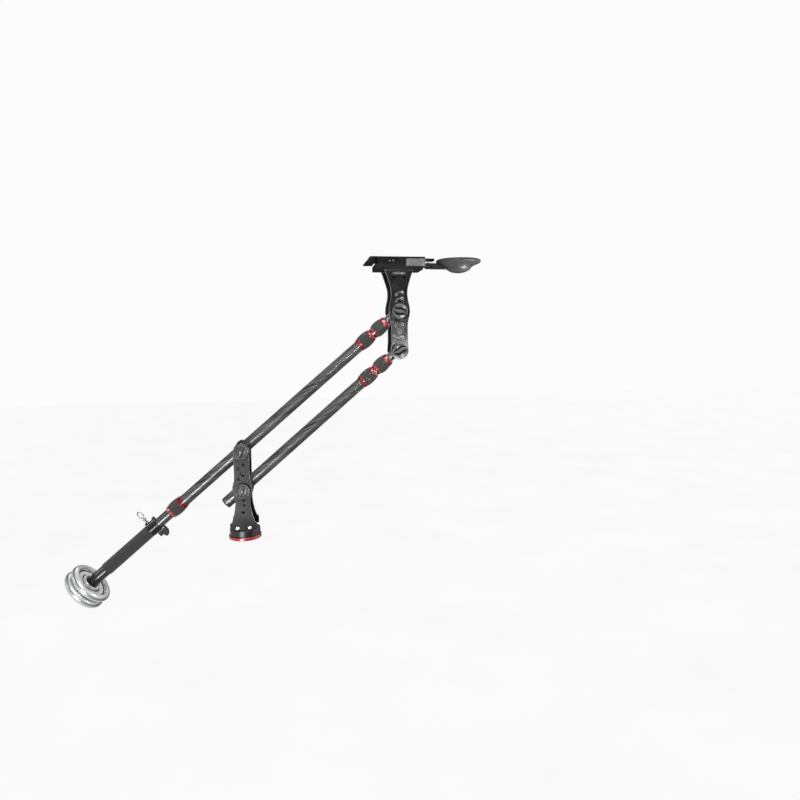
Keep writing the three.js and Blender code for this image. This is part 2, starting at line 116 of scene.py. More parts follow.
class Finish:
    """A Principled material with object coordinates in millimetres, turned back to the boom's own frame if it is for the boom."""

    def __init__(self, name, metallic=0.0, roughness=0.5, coat=0.0, coat_roughness=0.1, specular=0.5, ior=1.5, sheen=0.0, boom=False):
        self.material = bpy.data.materials.new(name)
        self.material.use_nodes = True
        self.tree = self.material.node_tree
        self.shader = next(n for n in self.tree.nodes if n.type == "BSDF_PRINCIPLED")
        s = self.shader.inputs
        s["Metallic"].default_value = metallic
        s["Roughness"].default_value = roughness
        s["Coat Weight"].default_value = coat
        s["Coat Roughness"].default_value = coat_roughness
        s["Specular IOR Level"].default_value = specular
        s["IOR"].default_value = ior
        s["Sheen Weight"].default_value = sheen
        coord = node(self.tree, "ShaderNodeTexCoord").outputs["Object"]
        if boom:
            coord = node(self.tree, "ShaderNodeMapping", {"Vector": coord, "Rotation": (0.0, BOOM, 0.0)}).outputs["Vector"]
        self.mm = node(self.tree, "ShaderNodeVectorMath", {0: coord, "Scale": 1000.0}, operation="SCALE").outputs[0]
        parts = node(self.tree, "ShaderNodeSeparateXYZ", {0: self.mm})
        self.x, self.y, self.z = parts.outputs
        self.bumps = None

    def vector(self, x, y, z):
        return node(self.tree, "ShaderNodeCombineXYZ", {0: x, 1: y, 2: z}).outputs[0]

    def noise(self, scale, detail=3.0, rough=0.5, vector=None, distortion=0.0):
        return node(self.tree, "ShaderNodeTexNoise", {
            "Vector": self.mm if vector is None else vector, "Scale": scale, "Detail": detail, "Roughness": rough,
            "Distortion": distortion,
        }).outputs["Fac"]

    def voronoi(self, scale, vector=None, feature="F1"):
        return node(self.tree, "ShaderNodeTexVoronoi", {
            "Vector": self.mm if vector is None else vector, "Scale": scale}, feature=feature).outputs["Distance"]

    def spread(self, value, low, high, to_low, to_high):
        return node(self.tree, "ShaderNodeMapRange", {
            "Value": value, "From Min": low, "From Max": high, "To Min": to_low, "To Max": to_high}).outputs[0]

    def math(self, operation, a, b=0.0, clamp=False):
        return math_node(self.tree, operation, a, b, clamp)

    def colour(self, socket):
        self.tree.links.new(socket, self.shader.inputs["Base Color"])

    def plain(self, rgb):
        self.shader.inputs["Base Color"].default_value = (*rgb, 1.0)

    def roughness(self, value, low, high, to_low, to_high):
        self.tree.links.new(self.spread(value, low, high, to_low, to_high), self.shader.inputs["Roughness"])

    def bump(self, height, depth, strength=1.0):
        """height is 0 to 1, depth is in millimetres."""
        inputs = {"Height": height, "Distance": depth * MM, "Strength": strength}
        if self.bumps is not None:
            inputs["Normal"] = self.bumps
        self.bumps = node(self.tree, "ShaderNodeBump", inputs).outputs["Normal"]
        self.tree.links.new(self.bumps, self.shader.inputs["Normal"])

    def around(self, axis):
        """(angle round the axis, place along it, distance from it)"""
        a, b, along = {"x": (self.y, self.z, self.x), "y": (self.x, self.z, self.y), "z": (self.x, self.y, self.z)}[axis]
        angle = self.math("ARCTAN2", b, a)
        radius = self.math("SQRT", self.math("ADD", self.math("MULTIPLY", a, a), self.math("MULTIPLY", b, b)))
        return angle, along, radius


# ------------------------------------------------------------------ materials
def carbon(name, dark, light, coat, twist, contrast, roughness):
    """Fibre strands laid in a long twist round a tube along X, under a clear coat."""
    f = Finish(name, metallic=0.55, roughness=roughness, coat=coat, coat_roughness=0.2, specular=0.6, boom=True)
    angle, along, _ = f.around("x")
    lay = f.math("SUBTRACT", angle, f.math("MULTIPLY", along, twist))
    c, s = f.math("COSINE", lay), f.math("SINE", lay)
    strands = f.noise(1.0, 4.0, 0.62, f.vector(f.math("MULTIPLY", c, 5.5), f.math("MULTIPLY", s, 5.5), f.math("MULTIPLY", along, 0.02)))
    broad = f.noise(1.0, 2.0, 0.5, f.vector(f.math("MULTIPLY", c, 1.6), f.math("MULTIPLY", s, 1.6), f.math("MULTIPLY", along, 0.006)))
    fibres = f.noise(1.0, 3.0, 0.7, f.vector(f.math("MULTIPLY", c, 20.0), f.math("MULTIPLY", s, 20.0), f.math("MULTIPLY", along, 0.03)))
    mixed = f.math("ADD", f.math("MULTIPLY", strands, 0.62), f.math("ADD", f.math("MULTIPLY", broad, 0.32), f.math("MULTIPLY", fibres, 0.06)))
    low, high = 0.5 - contrast, 0.5 + contrast
    f.colour(ramp(f.tree, f.spread(mixed, low, high, 0.0, 1.0), [(0.0, dark), (0.45, tuple(0.6 * d + 0.4 * l for d, l in zip(dark, light))), (1.0, light)]))
    f.roughness(mixed, low, high, roughness + 0.08, roughness - 0.04)
    f.bump(strands, 0.02, 0.4)
    f.bump(fibres, 0.003, 0.3)
    return f.material


def turned_metal(name, rgb, axis, roughness=0.2, metallic=1.0, line=0.006, coat=0.0, vary=0.12, tone=0.35, coat_ior=0.0):
    """Metal turned on a lathe: fine rings round the axis, with faint stains and rubbed places."""
    f = Finish(name, metallic=metallic, roughness=roughness, coat=coat, coat_roughness=0.2, boom=axis == "x")
    angle, along, radius = f.around(axis)
    rings = f.noise(1.0, 4.0, 0.7, f.vector(f.math("MULTIPLY", along, 3.0), f.math("MULTIPLY", radius, 3.0), f.math("MULTIPLY", angle, 0.15)))
    stain = f.noise(0.09, 3.0, 0.6)
    f.colour(ramp(f.tree, stain, [(0.3, tuple(v * (1 - tone) for v in rgb)), (0.7, rgb)]))
    f.roughness(f.math("ADD", f.math("MULTIPLY", rings, 0.5), f.math("MULTIPLY", stain, 0.5)), 0.3, 0.7, roughness, roughness + vary)
    f.bump(rings, line, 0.8)
    if coat_ior:
        f.shader.inputs["Coat IOR"].default_value = coat_ior
    return f.material


def cast_paint(name, rgb, roughness, grain=0.05, fleck=0.25, scale=1.1, metallic=0.0, coat=0.0, worn=0.0, specular=0.5, low=None):
    """Fine textured coat with small flecks, faint smears and, if worn, paler rubbed spots. If low is given, the colour
    fades to a tenth towards the bottom: painted shade.
    """
    f = Finish(name, metallic=metallic, roughness=roughness, coat=coat, specular=specular)
    fine = f.noise(scale, 3.0, 0.7)
    pits = f.voronoi(scale * 1.6)
    smear = f.noise(0.035, 4.0, 0.6, distortion=0.6)
    tone = f.math("ADD", f.math("MULTIPLY", fine, 0.55), f.math("MULTIPLY", smear, 0.45))
    paint = ramp(f.tree, tone, [(0.32, tuple(v * (1 - fleck) for v in rgb)), (0.55, rgb), (0.72, tuple(v * (1 + fleck) + worn for v in rgb))])
    # Painted shade: below the band given by low the colour fades to a tenth, darker towards the bottom.
    if low:
        painted_foot_shade = f.spread(f.math("ADD", f.z, f.math("MULTIPLY", smear, 8.0)), low[0], low[1], low[2], 0.0)
        paint = node(f.tree, "ShaderNodeMix", {0: painted_foot_shade, 6: paint, 7: tuple(v * 0.1 for v in rgb) + (1.0,)}, data_type="RGBA", clamp_factor=True).outputs[2]
    f.colour(paint)
    f.roughness(smear, 0.3, 0.7, roughness - 0.06, roughness + 0.08)
    f.bump(fine, grain, 0.7)
    f.bump(pits, grain * 0.5, 0.5)
    return f.material


def knob_finish(name, rgb, groove_shade_colour, low, high):
    """Satin paint, painted darker down in the grooves as painted shade. low and high are depths along Y in millimetres.
    """
    f = Finish(name, roughness=0.24, coat=0.35)
    fine = f.noise(1.7, 3.0, 0.7)
    smear = f.noise(0.11, 4.0, 0.6, distortion=0.5)
    tone = f.math("ADD", f.math("MULTIPLY", fine, 0.35), f.math("MULTIPLY", smear, 0.65))
    top = ramp(f.tree, tone, [(0.32, tuple(v * 0.72 for v in rgb)), (0.55, rgb), (0.74, tuple(v * 1.35 for v in rgb))])
    # Painted shade: nearer the plate than low the colour turns to the near-black given, in the grooves and round the
    # knob's foot.
    depth = f.spread(f.math("ADD", f.y, f.math("MULTIPLY", f.math("SUBTRACT", smear, 0.5), 1.2)), low, high, 0.0, 1.0)
    mixed = node(f.tree, "ShaderNodeMix", {0: depth, 6: (*groove_shade_colour, 1.0), 7: top}, data_type="RGBA", clamp_factor=True).outputs[2]
    f.colour(mixed)
    f.roughness(depth, 0.0, 1.0, 0.5, 0.24)
    f.bump(fine, 0.02, 0.7)
    return f.material


def collar_finish(name, rgb):
    """Moulded black: polished on the ring, dull on the parts that stand out from it."""
    f = Finish(name, roughness=0.3, boom=True)
    _, _, radius = f.around("x")
    fine = f.noise(1.6, 3.0, 0.7)
    f.colour(ramp(f.tree, f.noise(0.1, 4.0, 0.6), [(0.3, tuple(v * 0.7 for v in rgb)), (0.7, tuple(v * 1.3 for v in rgb))]))
    f.roughness(f.math("ADD", radius, fine), 17.0, 18.4, 0.2, 0.62)
    f.bump(fine, 0.02, 0.6)
    return f.material


def rubber(name, rgb, roughness=0.62, grain=0.04):
    f = Finish(name, roughness=roughness, specular=0.35, sheen=0.15)
    f.shader.inputs["Diffuse Roughness"].default_value = 1.0
    fine = f.noise(2.4, 4.0, 0.7)
    dust = f.noise(0.08, 4.0, 0.65, distortion=0.4)
    f.colour(ramp(f.tree, f.math("ADD", f.math("MULTIPLY", fine, 0.4), f.math("MULTIPLY", dust, 0.6)),
                  [(0.3, tuple(v * 0.78 for v in rgb)), (0.6, rgb), (0.78, tuple(v * 1.3 for v in rgb))]))
    f.roughness(dust, 0.3, 0.7, roughness - 0.05, roughness + 0.1)
    f.bump(fine, grain, 0.7)
    return f.material


def chrome(name, axis, grooves=()):
    """Plated steel. grooves are radii in millimetres where the colour is painted near-black along the turned grooves:
    painted shade.
    """
    f = Finish(name, metallic=0.75, roughness=0.28, boom=axis == "x")
    angle, along, radius = f.around(axis)
    wave = f.noise(0.05, 2.0, 0.5)
    haze = f.noise(0.35, 4.0, 0.65)
    rings = f.noise(1.0, 3.0, 0.6, f.vector(f.math("MULTIPLY", along, 3.0), f.math("MULTIPLY", radius, 3.0), f.math("MULTIPLY", angle, 0.4)))
    plated = ramp(f.tree, wave, [(0.3, (0.70, 0.705, 0.71)), (0.7, (0.80, 0.805, 0.81))])
    # Painted shade: near-black rings along the turned grooves.
    for groove_radius in grooves:
        away = f.math("ABSOLUTE", f.math("SUBTRACT", radius, groove_radius))
        painted_groove_shade = f.spread(f.math("ADD", away, f.math("MULTIPLY", haze, 0.4)), 1.1, 1.7, 1.0, 0.0)
        plated = node(f.tree, "ShaderNodeMix", {0: painted_groove_shade, 6: plated, 7: (0.02, 0.02, 0.021, 1.0)}, data_type="RGBA", clamp_factor=True).outputs[2]
    f.colour(plated)
    f.roughness(haze, 0.35, 0.75, 0.27, 0.37)
    f.bump(rings, 0.0015, 0.5)
    f.bump(wave, 0.06, 0.3)
    return f.material


def brushed(name, rgb, roughness=0.28):
    f = Finish(name, metallic=1.0, roughness=roughness)
    lines = f.noise(1.0, 3.0, 0.7, f.vector(f.math("MULTIPLY", f.x, 0.25), f.math("MULTIPLY", f.y, 5.0), f.math("MULTIPLY", f.z, 5.0)))
    stain = f.noise(0.25, 3.0, 0.6)
    f.colour(ramp(f.tree, stain, [(0.3, tuple(v * 0.72 for v in rgb)), (0.7, rgb)]))
    f.roughness(lines, 0.3, 0.7, roughness - 0.08, roughness + 0.14)
    f.bump(lines, 0.012, 0.7)
    return f.material


CARBON = carbon("carbon_twist", (0.008, 0.0085, 0.009), (0.34, 0.342, 0.34), 0.7, 0.0218, 0.12, 0.34)
CARBON_SMOOTH = carbon("carbon_smooth", (0.05, 0.051, 0.052), (0.17, 0.172, 0.17), 1.0, 0.0218, 0.26, 0.32)
RED_X = turned_metal("red_anodised_x", (0.34, 0.014, 0.024), "x", 0.3, metallic=0.35, line=0.0015, coat=1.0, coat_ior=1.75)
RED_Z = turned_metal("red_anodised_z", (0.50, 0.02, 0.028), "z", 0.36, metallic=0.35, line=0.002, coat=1.0, coat_ior=1.75)
RIBBED = rubber("lock_rubber", (0.062, 0.058, 0.056), 0.62)
GRIP = rubber("grip_rubber", (0.054, 0.054, 0.055), 0.85, 0.1)
# low paints the lower part of the plate darker: painted shade towards the foot.
PLATE_GREY = cast_paint("bracket_grey", (0.047, 0.048, 0.050), 0.26, 0.06, 0.5, 1.0, specular=0.12, low=(44, 72, 0.95))
PLATE_HEAD = cast_paint("bracket_black", (0.010, 0.010, 0.011), 0.19, 0.03, 0.45, 1.2, specular=0.4)
# Near-black: the black plates' own colour; on the grey base bracket, its far plate and the walls of its near plate, it
# is painted shade.
PLATE_BLACK = cast_paint("bracket_back", (0.006, 0.006, 0.007), 0.4, 0.03, 0.4, 1.2, specular=0.3)
# On the plates' bevels this light metal is painted highlight along the edges; EDGE_GREY also colours the base plate's
# beads and the knobs' stud ends.
EDGE_GREY = cast_paint("bracket_edge", (0.36, 0.36, 0.365), 0.3, 0.02, 0.3, 1.6, metallic=0.6)
EDGE_BLACK = cast_paint("bracket_edge_black", (0.36, 0.36, 0.365), 0.3, 0.02, 0.3, 1.6, metallic=0.7)
FOOT_GREY = cast_paint("clamp_foot_grey", (0.014, 0.014, 0.015), 0.26, 0.03, 0.4, 1.0, specular=0.22)
JAW_GREY = cast_paint("clamp_grey", (0.26, 0.26, 0.263), 0.24, 0.02, 0.3, 0.9, metallic=0.5)
CLAMP_BLACK = cast_paint("clamp_black", (0.007, 0.007, 0.008), 0.28, 0.02, 0.4, 1.2, specular=0.25)
SATIN_BLACK = cast_paint("satin_black", (0.016, 0.016, 0.017), 0.3, 0.02, 0.35, 1.5, coat=0.2)
COLLAR = collar_finish("collar_black", (0.014, 0.014, 0.015))
# Near-black: the head bolts' own colour, and painted shade on the knob groove floors and round the base plate's small
# holes.
DARK = cast_paint("near_black_and_painted_shade", (0.004, 0.004, 0.004), 0.7, 0.02, 0.3, 1.5, specular=0.1)
GLOSS_BLACK = turned_metal("gloss_black", (0.008, 0.008, 0.009), "z", 0.38, metallic=0.0, coat=0.4, vary=0.1)
GLOSS_BLACK_X = turned_metal("gloss_black_x", (0.008, 0.008, 0.008), "x", 0.25, metallic=0.0, coat=0.9, vary=0.1, line=0.002)
HANDLE = cast_paint("handle_plastic", (0.026, 0.026, 0.027), 0.5, 0.02, 0.25, 1.4, specular=0.7)
# The near-black and the two depths paint shade in the knob's grooves.
KNOB = knob_finish("knob_grey", (0.11, 0.11, 0.113), (0.004, 0.004, 0.004), -39.6, -41.6)
ALLOY = brushed("machined_alloy", (0.56, 0.565, 0.57), 0.3)
STEEL = brushed("plated_steel", (0.74, 0.75, 0.76), 0.22)
LOOP = brushed("loop_steel", (0.55, 0.55, 0.56), 0.45)
BRASS = turned_metal("brass", (0.62, 0.43, 0.15), "z", 0.25)
CHROME = chrome("chrome", "x", (24.7, 37.9))
NYLON = rubber("nylon", (0.7, 0.69, 0.65), 0.5, 0.02)
MOULDED = rubber("moulded_plastic", (0.03, 0.03, 0.03), 0.5, 0.02)

# ------------------------------------------------------------------ shapes
def rounded(points, closed, seg=4):
    """Points are (a, b) or (a, b, fillet radius)."""
    out, n = [], len(points)
    for i, p in enumerate(points):
        fillet = p[2] if len(p) > 2 else 0.0
        c = Vector(p[:2])
        if fillet <= 0 or (not closed and i in (0, n - 1)):
            out.append(tuple(c))
            continue
        a, b = Vector(points[i - 1][:2]) - c, Vector(points[(i + 1) % n][:2]) - c
        la, lb = a.length, b.length
        a.normalize()
        b.normalize()
        angle = a.angle(b)
        if angle > math.pi - 0.02:
            out.append(tuple(c))
            continue
        t = min(fillet / math.tan(angle / 2), la * 0.48, lb * 0.48)
        centre = c + (a + b).normalized() * (t / math.cos(angle / 2))
        v0, v1 = c + a * t - centre, c + b * t - centre
        turn = math.atan2(v0.x * v1.y - v0.y * v1.x, v0.dot(v1))
        for k in range(seg + 1):
            w = turn * k / seg
            out.append((centre.x + v0.x * math.cos(w) - v0.y * math.sin(w), centre.y + v0.x * math.sin(w) + v0.y * math.cos(w)))
    return out


PUT = {
    "x": lambda a, c, s: (a, c, s),
    "y": lambda a, c, s: (c, a, s),
    "z": lambda a, c, s: (c, s, a),
}


def lathe(axis, profile, n=96, seg=4, shape=None):
    """A turned shell. The profile is (along, radius, fillet) and closes on itself unless it starts and ends on the axis."""
    closed = not (profile[0][1] == 0 and profile[-1][1] == 0)
    put = PUT[axis]
    co, rings = [], []
    for a, r in rounded(profile, closed, seg):
        if r < 1e-6:
            rings.append([len(co)])
            co.append(put(a, 0, 0))
        else:
            rings.append(list(range(len(co), len(co) + n)))
            for i in range(n):
                t = 2 * math.pi * i / n
                q = shape(a, r, t) if shape else r
                co.append(put(a, q * math.cos(t), q * math.sin(t)))
    faces = []
    for one, two in list(zip(rings, rings[1:])) + ([(rings[-1], rings[0])] if closed else []):
        if len(one) == 1 and len(two) == 1:
            continue
        for i in range(n):
            j = (i + 1) % n
            if len(one) == 1:
                faces.append((one[0], two[i], two[j]))
            elif len(two) == 1:
                faces.append((one[i], two[0], one[j]))
            else:
                faces.append((one[i], two[i], two[j], one[j]))
    return co, faces


def lists(bm):
    bm.verts.index_update()
    co = [tuple(v.co) for v in bm.verts]
    faces = [tuple(v.index for v in f.verts) for f in bm.faces]
    bm.free()
    return co, faces


def box(x0, x1, y0, y1, z0, z1, bevel=0.6, seg=2):
    bm = bmesh.new()
    size = Matrix.Diagonal((x1 - x0, y1 - y0, z1 - z0, 1))
    bmesh.ops.create_cube(bm, size=1, matrix=Matrix.Translation(((x0 + x1) / 2, (y0 + y1) / 2, (z0 + z1) / 2)) @ size)
    if bevel:
        bmesh.ops.bevel(bm, geom=bm.edges[:], offset=bevel, segments=seg, profile=0.5, affect="EDGES")
    return lists(bm)


def circle(x, z, r, n=28, start=0.0):
    return [(x + r * math.cos(start + 2 * math.pi * i / n), z + r * math.sin(start + 2 * math.pi * i / n)) for i in range(n)]


def stadium(x, z, half, r, angle=0.0, n=10):
    """A slot's outline: half is from the middle to the centre of an end."""
    pts = []
    for side in (0, 1):
        for i in range(n + 1):
            t = -math.pi / 2 + math.pi * i / n + math.pi * side
            pts.append(((half if side == 0 else -half) + r * math.cos(t), r * math.sin(t)))
    c, s = math.cos(angle), math.sin(angle)
    return [(x + u * c - v * s, z + u * s + v * c) for u, v in pts]


def spline(points, steps=6):
    """An open curve through the points."""
    out = []
    p = [Vector(q) for q in points]
    p = [2 * p[0] - p[1], *p, 2 * p[-1] - p[-2]]
    for i in range(1, len(p) - 2):
        for k in range(steps):
            t = k / steps
            out.append(tuple(0.5 * (2 * p[i] + (p[i + 1] - p[i - 1]) * t + (2 * p[i - 1] - 5 * p[i] + 4 * p[i + 1] - p[i + 2]) * t * t
                                    + (3 * p[i] - p[i - 1] - 3 * p[i + 1] + p[i + 2]) * t ** 3)))
    out.append(tuple(p[-2]))
    return out


def plate(outline, y0, y1, holes=(), bevel=0.5, seg=1, across="y"):
    """An outline in X and Z (or X and Y, or Y and Z) with holes, pushed through, with bevelled edges. Returns the shell
    and, for each face, 0 for a flat face, 1 for a bevel and 2 for the wall."""
    curve = bpy.data.curves.new("outline", "CURVE")
    curve.dimensions = "2D"
    curve.fill_mode = "BOTH"
    curve.extrude = (y1 - y0) / 2 - bevel
    curve.bevel_depth = bevel
    curve.bevel_resolution = seg
    curve.offset = -bevel
    for loop in [outline, *holes]:
        s = curve.splines.new("POLY")
        s.points.add(len(loop) - 1)
        for point, (u, v) in zip(s.points, loop):
            point.co = (u, v, 0, 1)
        s.use_cyclic_u = True
    ob = bpy.data.objects.new("outline", curve)
    scene.collection.objects.link(ob)
    bpy.context.view_layer.update()
    mesh = bpy.data.meshes.new_from_object(ob.evaluated_get(bpy.context.evaluated_depsgraph_get()))
    bpy.data.objects.remove(ob)
    bpy.data.curves.remove(curve)
    bm = bmesh.new()
    bm.from_mesh(mesh)
    bpy.data.meshes.remove(mesh)
    bmesh.ops.remove_doubles(bm, verts=bm.verts[:], dist=1e-4)
    bmesh.ops.recalc_face_normals(bm, faces=bm.faces[:])
    kinds = []
    for f in bm.faces:
        n = abs(f.normal.z)
        kinds.append(0 if n > 0.95 else 2 if n < 0.15 else 1)
    co, faces = lists(bm)
    mid = (y0 + y1) / 2
    order = {"y": lambda c: (c[0], mid + c[2], c[1]), "z": lambda c: (c[0], c[1], mid + c[2]), "x": lambda c: (mid + c[2], c[0], c[1])}[across]
    return [order(c) for c in co], faces, kinds


def sweep(path, radius, closed=False, n=12, flat=1.0):
    """A round bar along a path. radius is a number or one per point."""
    p = [Vector(q) for q in path]
    m = len(p)
    radii = radius if isinstance(radius, (list, tuple)) else [radius] * m
    tangents = []
    for i in range(m):
        a = p[i - 1] if closed or i else p[0]
        b = p[(i + 1) % m] if closed or i < m - 1 else p[-1]
        tangents.append((b - a).normalized())
    side = tangents[0].orthogonal().normalized()
    if abs(tangents[0].y) < 0.9:
        side = (Vector((0, 1, 0)) - tangents[0] * tangents[0].y).normalized()
    co, faces = [], []
    for i in range(m):
        side = (side - tangents[i] * side.dot(tangents[i])).normalized()
        other = tangents[i].cross(side)
        for k in range(n):
            t = 2 * math.pi * k / n
            co.append(tuple(p[i] + (side * math.cos(t) * flat + other * math.sin(t)) * radii[i]))
    for i in range(m if closed else m - 1):
        j = (i + 1) % m
        for k in range(n):
            l = (k + 1) % n
            faces.append((i * n + k, i * n + l, j * n + l, j * n + k))
    if not closed:
        faces.append(tuple(range(n - 1, -1, -1)))
        faces.append(tuple((m - 1) * n + k for k in range(n)))
    return co, faces


def loft(sections):
    """Closed sections of the same number of points, joined in order, with flat ends."""
    n = len(sections[0])
    co = [c for s in sections for c in s]
    faces = []
    for i in range(len(sections) - 1):
        for k in range(n):
            l = (k + 1) % n
            faces.append((i * n + k, i * n + l, (i + 1) * n + l, (i + 1) * n + k))
    faces.append(tuple(range(n - 1, -1, -1)))
    faces.append(tuple((len(sections) - 1) * n + k for k in range(n)))
    return co, faces


def thread(axis, a0, a1, major, minor, pitch, n=40, per_turn=10, bore=False, back=None):
    """A screw thread as a closed shell: outside of a rod, or inside of a sleeve whose outer radius is back."""
    rows = max(2, int(round((a1 - a0) / pitch * per_turn)))
    put = PUT[axis]
    co = []
    for i in range(rows + 1):
        a = a0 + (a1 - a0) * i / rows
        fade = min(1.0, (a - a0) / (pitch * 0.7), (a1 - a) / (pitch * 0.7))
        for k in range(n):
            phase = (a / pitch - k / n) % 1.0
            wave = min(1.0, max(0.0, 1.6 * abs(2 * phase - 1) - 0.3))
            r = (minor + (major - minor) * wave * fade) if not bore else (major - (major - minor) * wave * fade)
            t = 2 * math.pi * k / n
            co.append(put(a, r * math.cos(t), r * math.sin(t)))
    faces = []
    for i in range(rows):
        for k in range(n):
            l = (k + 1) % n
            faces.append((i * n + k, i * n + l, (i + 1) * n + l, (i + 1) * n + k))
    if not bore:
        faces.append(tuple(range(n - 1, -1, -1)))
        faces.append(tuple(rows * n + k for k in range(n)))
    else:
        start = len(co)
        for a in (a0, a1):
            for k in range(n):
                t = 2 * math.pi * k / n
                co.append(put(a, back * math.cos(t), back * math.sin(t)))
        for k in range(n):
            l = (k + 1) % n
            faces.append((k, l, start + l, start + k))
            faces.append((rows * n + k, rows * n + l, start + n + l, start + n + k))
            faces.append((start + k, start + l, start + n + l, start + n + k))
    return co, faces


def temporary(shell):
    mesh = bpy.data.meshes.new("shell")
    mesh.from_pydata(shell[0], [], shell[1])
    bm = bmesh.new()
    bm.from_mesh(mesh)
    bmesh.ops.recalc_face_normals(bm, faces=bm.faces[:])
    bm.to_mesh(mesh)
    bm.free()
    ob = bpy.data.objects.new("shell", mesh)
    scene.collection.objects.link(ob)
    return ob


def evaluated(ob, *others):
    bpy.context.view_layer.update()
    mesh = bpy.data.meshes.new_from_object(ob.evaluated_get(bpy.context.evaluated_depsgraph_get()))
    co = [tuple(v.co) for v in mesh.vertices]
    faces = [tuple(f.vertices) for f in mesh.polygons]
    bpy.data.meshes.remove(mesh)
    for o in (ob, *others):
        old = o.data
        bpy.data.objects.remove(o)
        bpy.data.meshes.remove(old)
    return co, faces


def carve(shell, *tools, operation="DIFFERENCE", bevel=0.0, seg=2, angle=35):
    """Booleans, one tool after another, and then a bevel on the sharp edges."""
    ob = temporary(shell)
    cutters = [temporary(t[:2]) for t in tools]
    for c in cutters:
        mod = ob.modifiers.new("cut", "BOOLEAN")
        mod.operation = operation
        mod.solver = "EXACT"
        mod.object = c
    if bevel:
        mod = ob.modifiers.new("soften", "BEVEL")
        mod.width = bevel
        mod.segments = seg
        mod.limit_method = "ANGLE"
        mod.angle_limit = math.radians(angle)
        mod.harden_normals = False
    return evaluated(ob, *cutters)


def soften(shell, bevel, seg=2, angle=35):
    return carve(shell, bevel=bevel, seg=seg, angle=angle)


def moved(shell, matrix):
    return [tuple(matrix @ Vector(c)) for c in shell[0]], *shell[1:]


def shifted(shell, x=0.0, y=0.0, z=0.0):
    return moved(shell, Matrix.Translation((x, y, z)))


def turned(shell, degrees, axis="Y", about=(0, 0, 0)):
    a = Vector(about)
    return moved(shell, Matrix.Translation(a) @ Matrix.Rotation(math.radians(degrees), 4, axis) @ Matrix.Translation(-a))


class Piece:
    """One visible piece: closed shells with a material each."""

    def __init__(self, name, at, body, slot, replaces=()):
        self.name, self.at, self.body, self.slot, self.replaces = name, at, body, slot, replaces
        self.co, self.faces, self.index, self.materials = [], [], [], []

    def _mat(self, material):
        if material not in self.materials:
            self.materials.append(material)
        return self.materials.index(material)

    def add(self, shell, material, edge=None, wall=None):
        start = len(self.co)
        self.co += list(shell[0])
        self.faces += [tuple(i + start for i in f) for f in shell[1]]
        main = self._mat(material)
        if len(shell) > 2 and (edge or wall):
            e = self._mat(edge) if edge else main
            w = self._mat(wall) if wall else main
            self.index += [(main, e, w)[k] for k in shell[2]]
        else:
            self.index += [main] * len(shell[1])
        return self

    def done(self, angle=34, weighted=True):
        mesh = bpy.data.meshes.new(self.name)
        x0, z0, tilt = self.at
        lift = Matrix.Rotation(-tilt, 4, "Y") @ Matrix.Scale(MM, 4)
        mesh.from_pydata([tuple(lift @ Vector(c)) for c in self.co], [], self.faces)
        for m in self.materials:
            mesh.materials.append(m)
        mesh.polygons.foreach_set("material_index", self.index)
        bm = bmesh.new()
        bm.from_mesh(mesh)
        bmesh.ops.recalc_face_normals(bm, faces=bm.faces[:])
        bm.to_mesh(mesh)
        bm.free()
        mesh.shade_smooth()
        mesh.set_sharp_from_angle(angle=math.radians(angle))
        ob = bpy.data.objects.new(self.name, mesh)
        scene.collection.objects.link(ob)
        if weighted:
            mod = ob.modifiers.new("normals", "WEIGHTED_NORMAL")
            mod.keep_sharp = True
            mod.weight = 80
        ob.matrix_world = Matrix.Translation((x0 * MM, 0, z0 * MM))
        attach(ob, self.body)
        if self.replaces:
            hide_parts(*self.replaces)
        return ob


def hex_outline(r, start=0.0):
    return [(r * math.cos(start + math.pi / 3 * i), r * math.sin(start + math.pi / 3 * i)) for i in range(6)]


def prism(outline, a0, a1, axis="y"):
    """A straight-sided prism with no bevel, for cutting."""
    n = len(outline)
    put = {"y": lambda u, v, a: (u, a, v), "z": lambda u, v, a: (u, v, a), "x": lambda u, v, a: (a, u, v)}[axis]
    co = [put(u, v, a0) for u, v in outline] + [put(u, v, a1) for u, v in outline]
    faces = [tuple(range(n)), tuple(range(2 * n - 1, n - 1, -1))]
    faces += [(i, (i + 1) % n, n + (i + 1) % n, n + i) for i in range(n)]
    return co, faces


def socket_head(axis, face, out, r, thick, socket, domed=True):
    """A screw head that stands on a face and points along out (+1 or -1), with a hexagon socket."""
    top = face + out * thick
    if domed:
        profile = [(face, 0), (face, r, 0.3), (face + out * thick * 0.35, r, 0.4), (top - out * 0.15, r * 0.62, 0.8), (top, socket + 0.5, 0.2), (top, 0)]
    else:
        profile = [(face, 0), (face, r, 0.3), (top, r, 0.5), (top, 0)]
    head = lathe(axis, profile, n=48)
    hole = prism(hex_outline(socket, math.pi / 6), min(top - out * thick * 0.62, top + out), max(top - out * thick * 0.62, top + out), axis)
    return carve(head, hole)


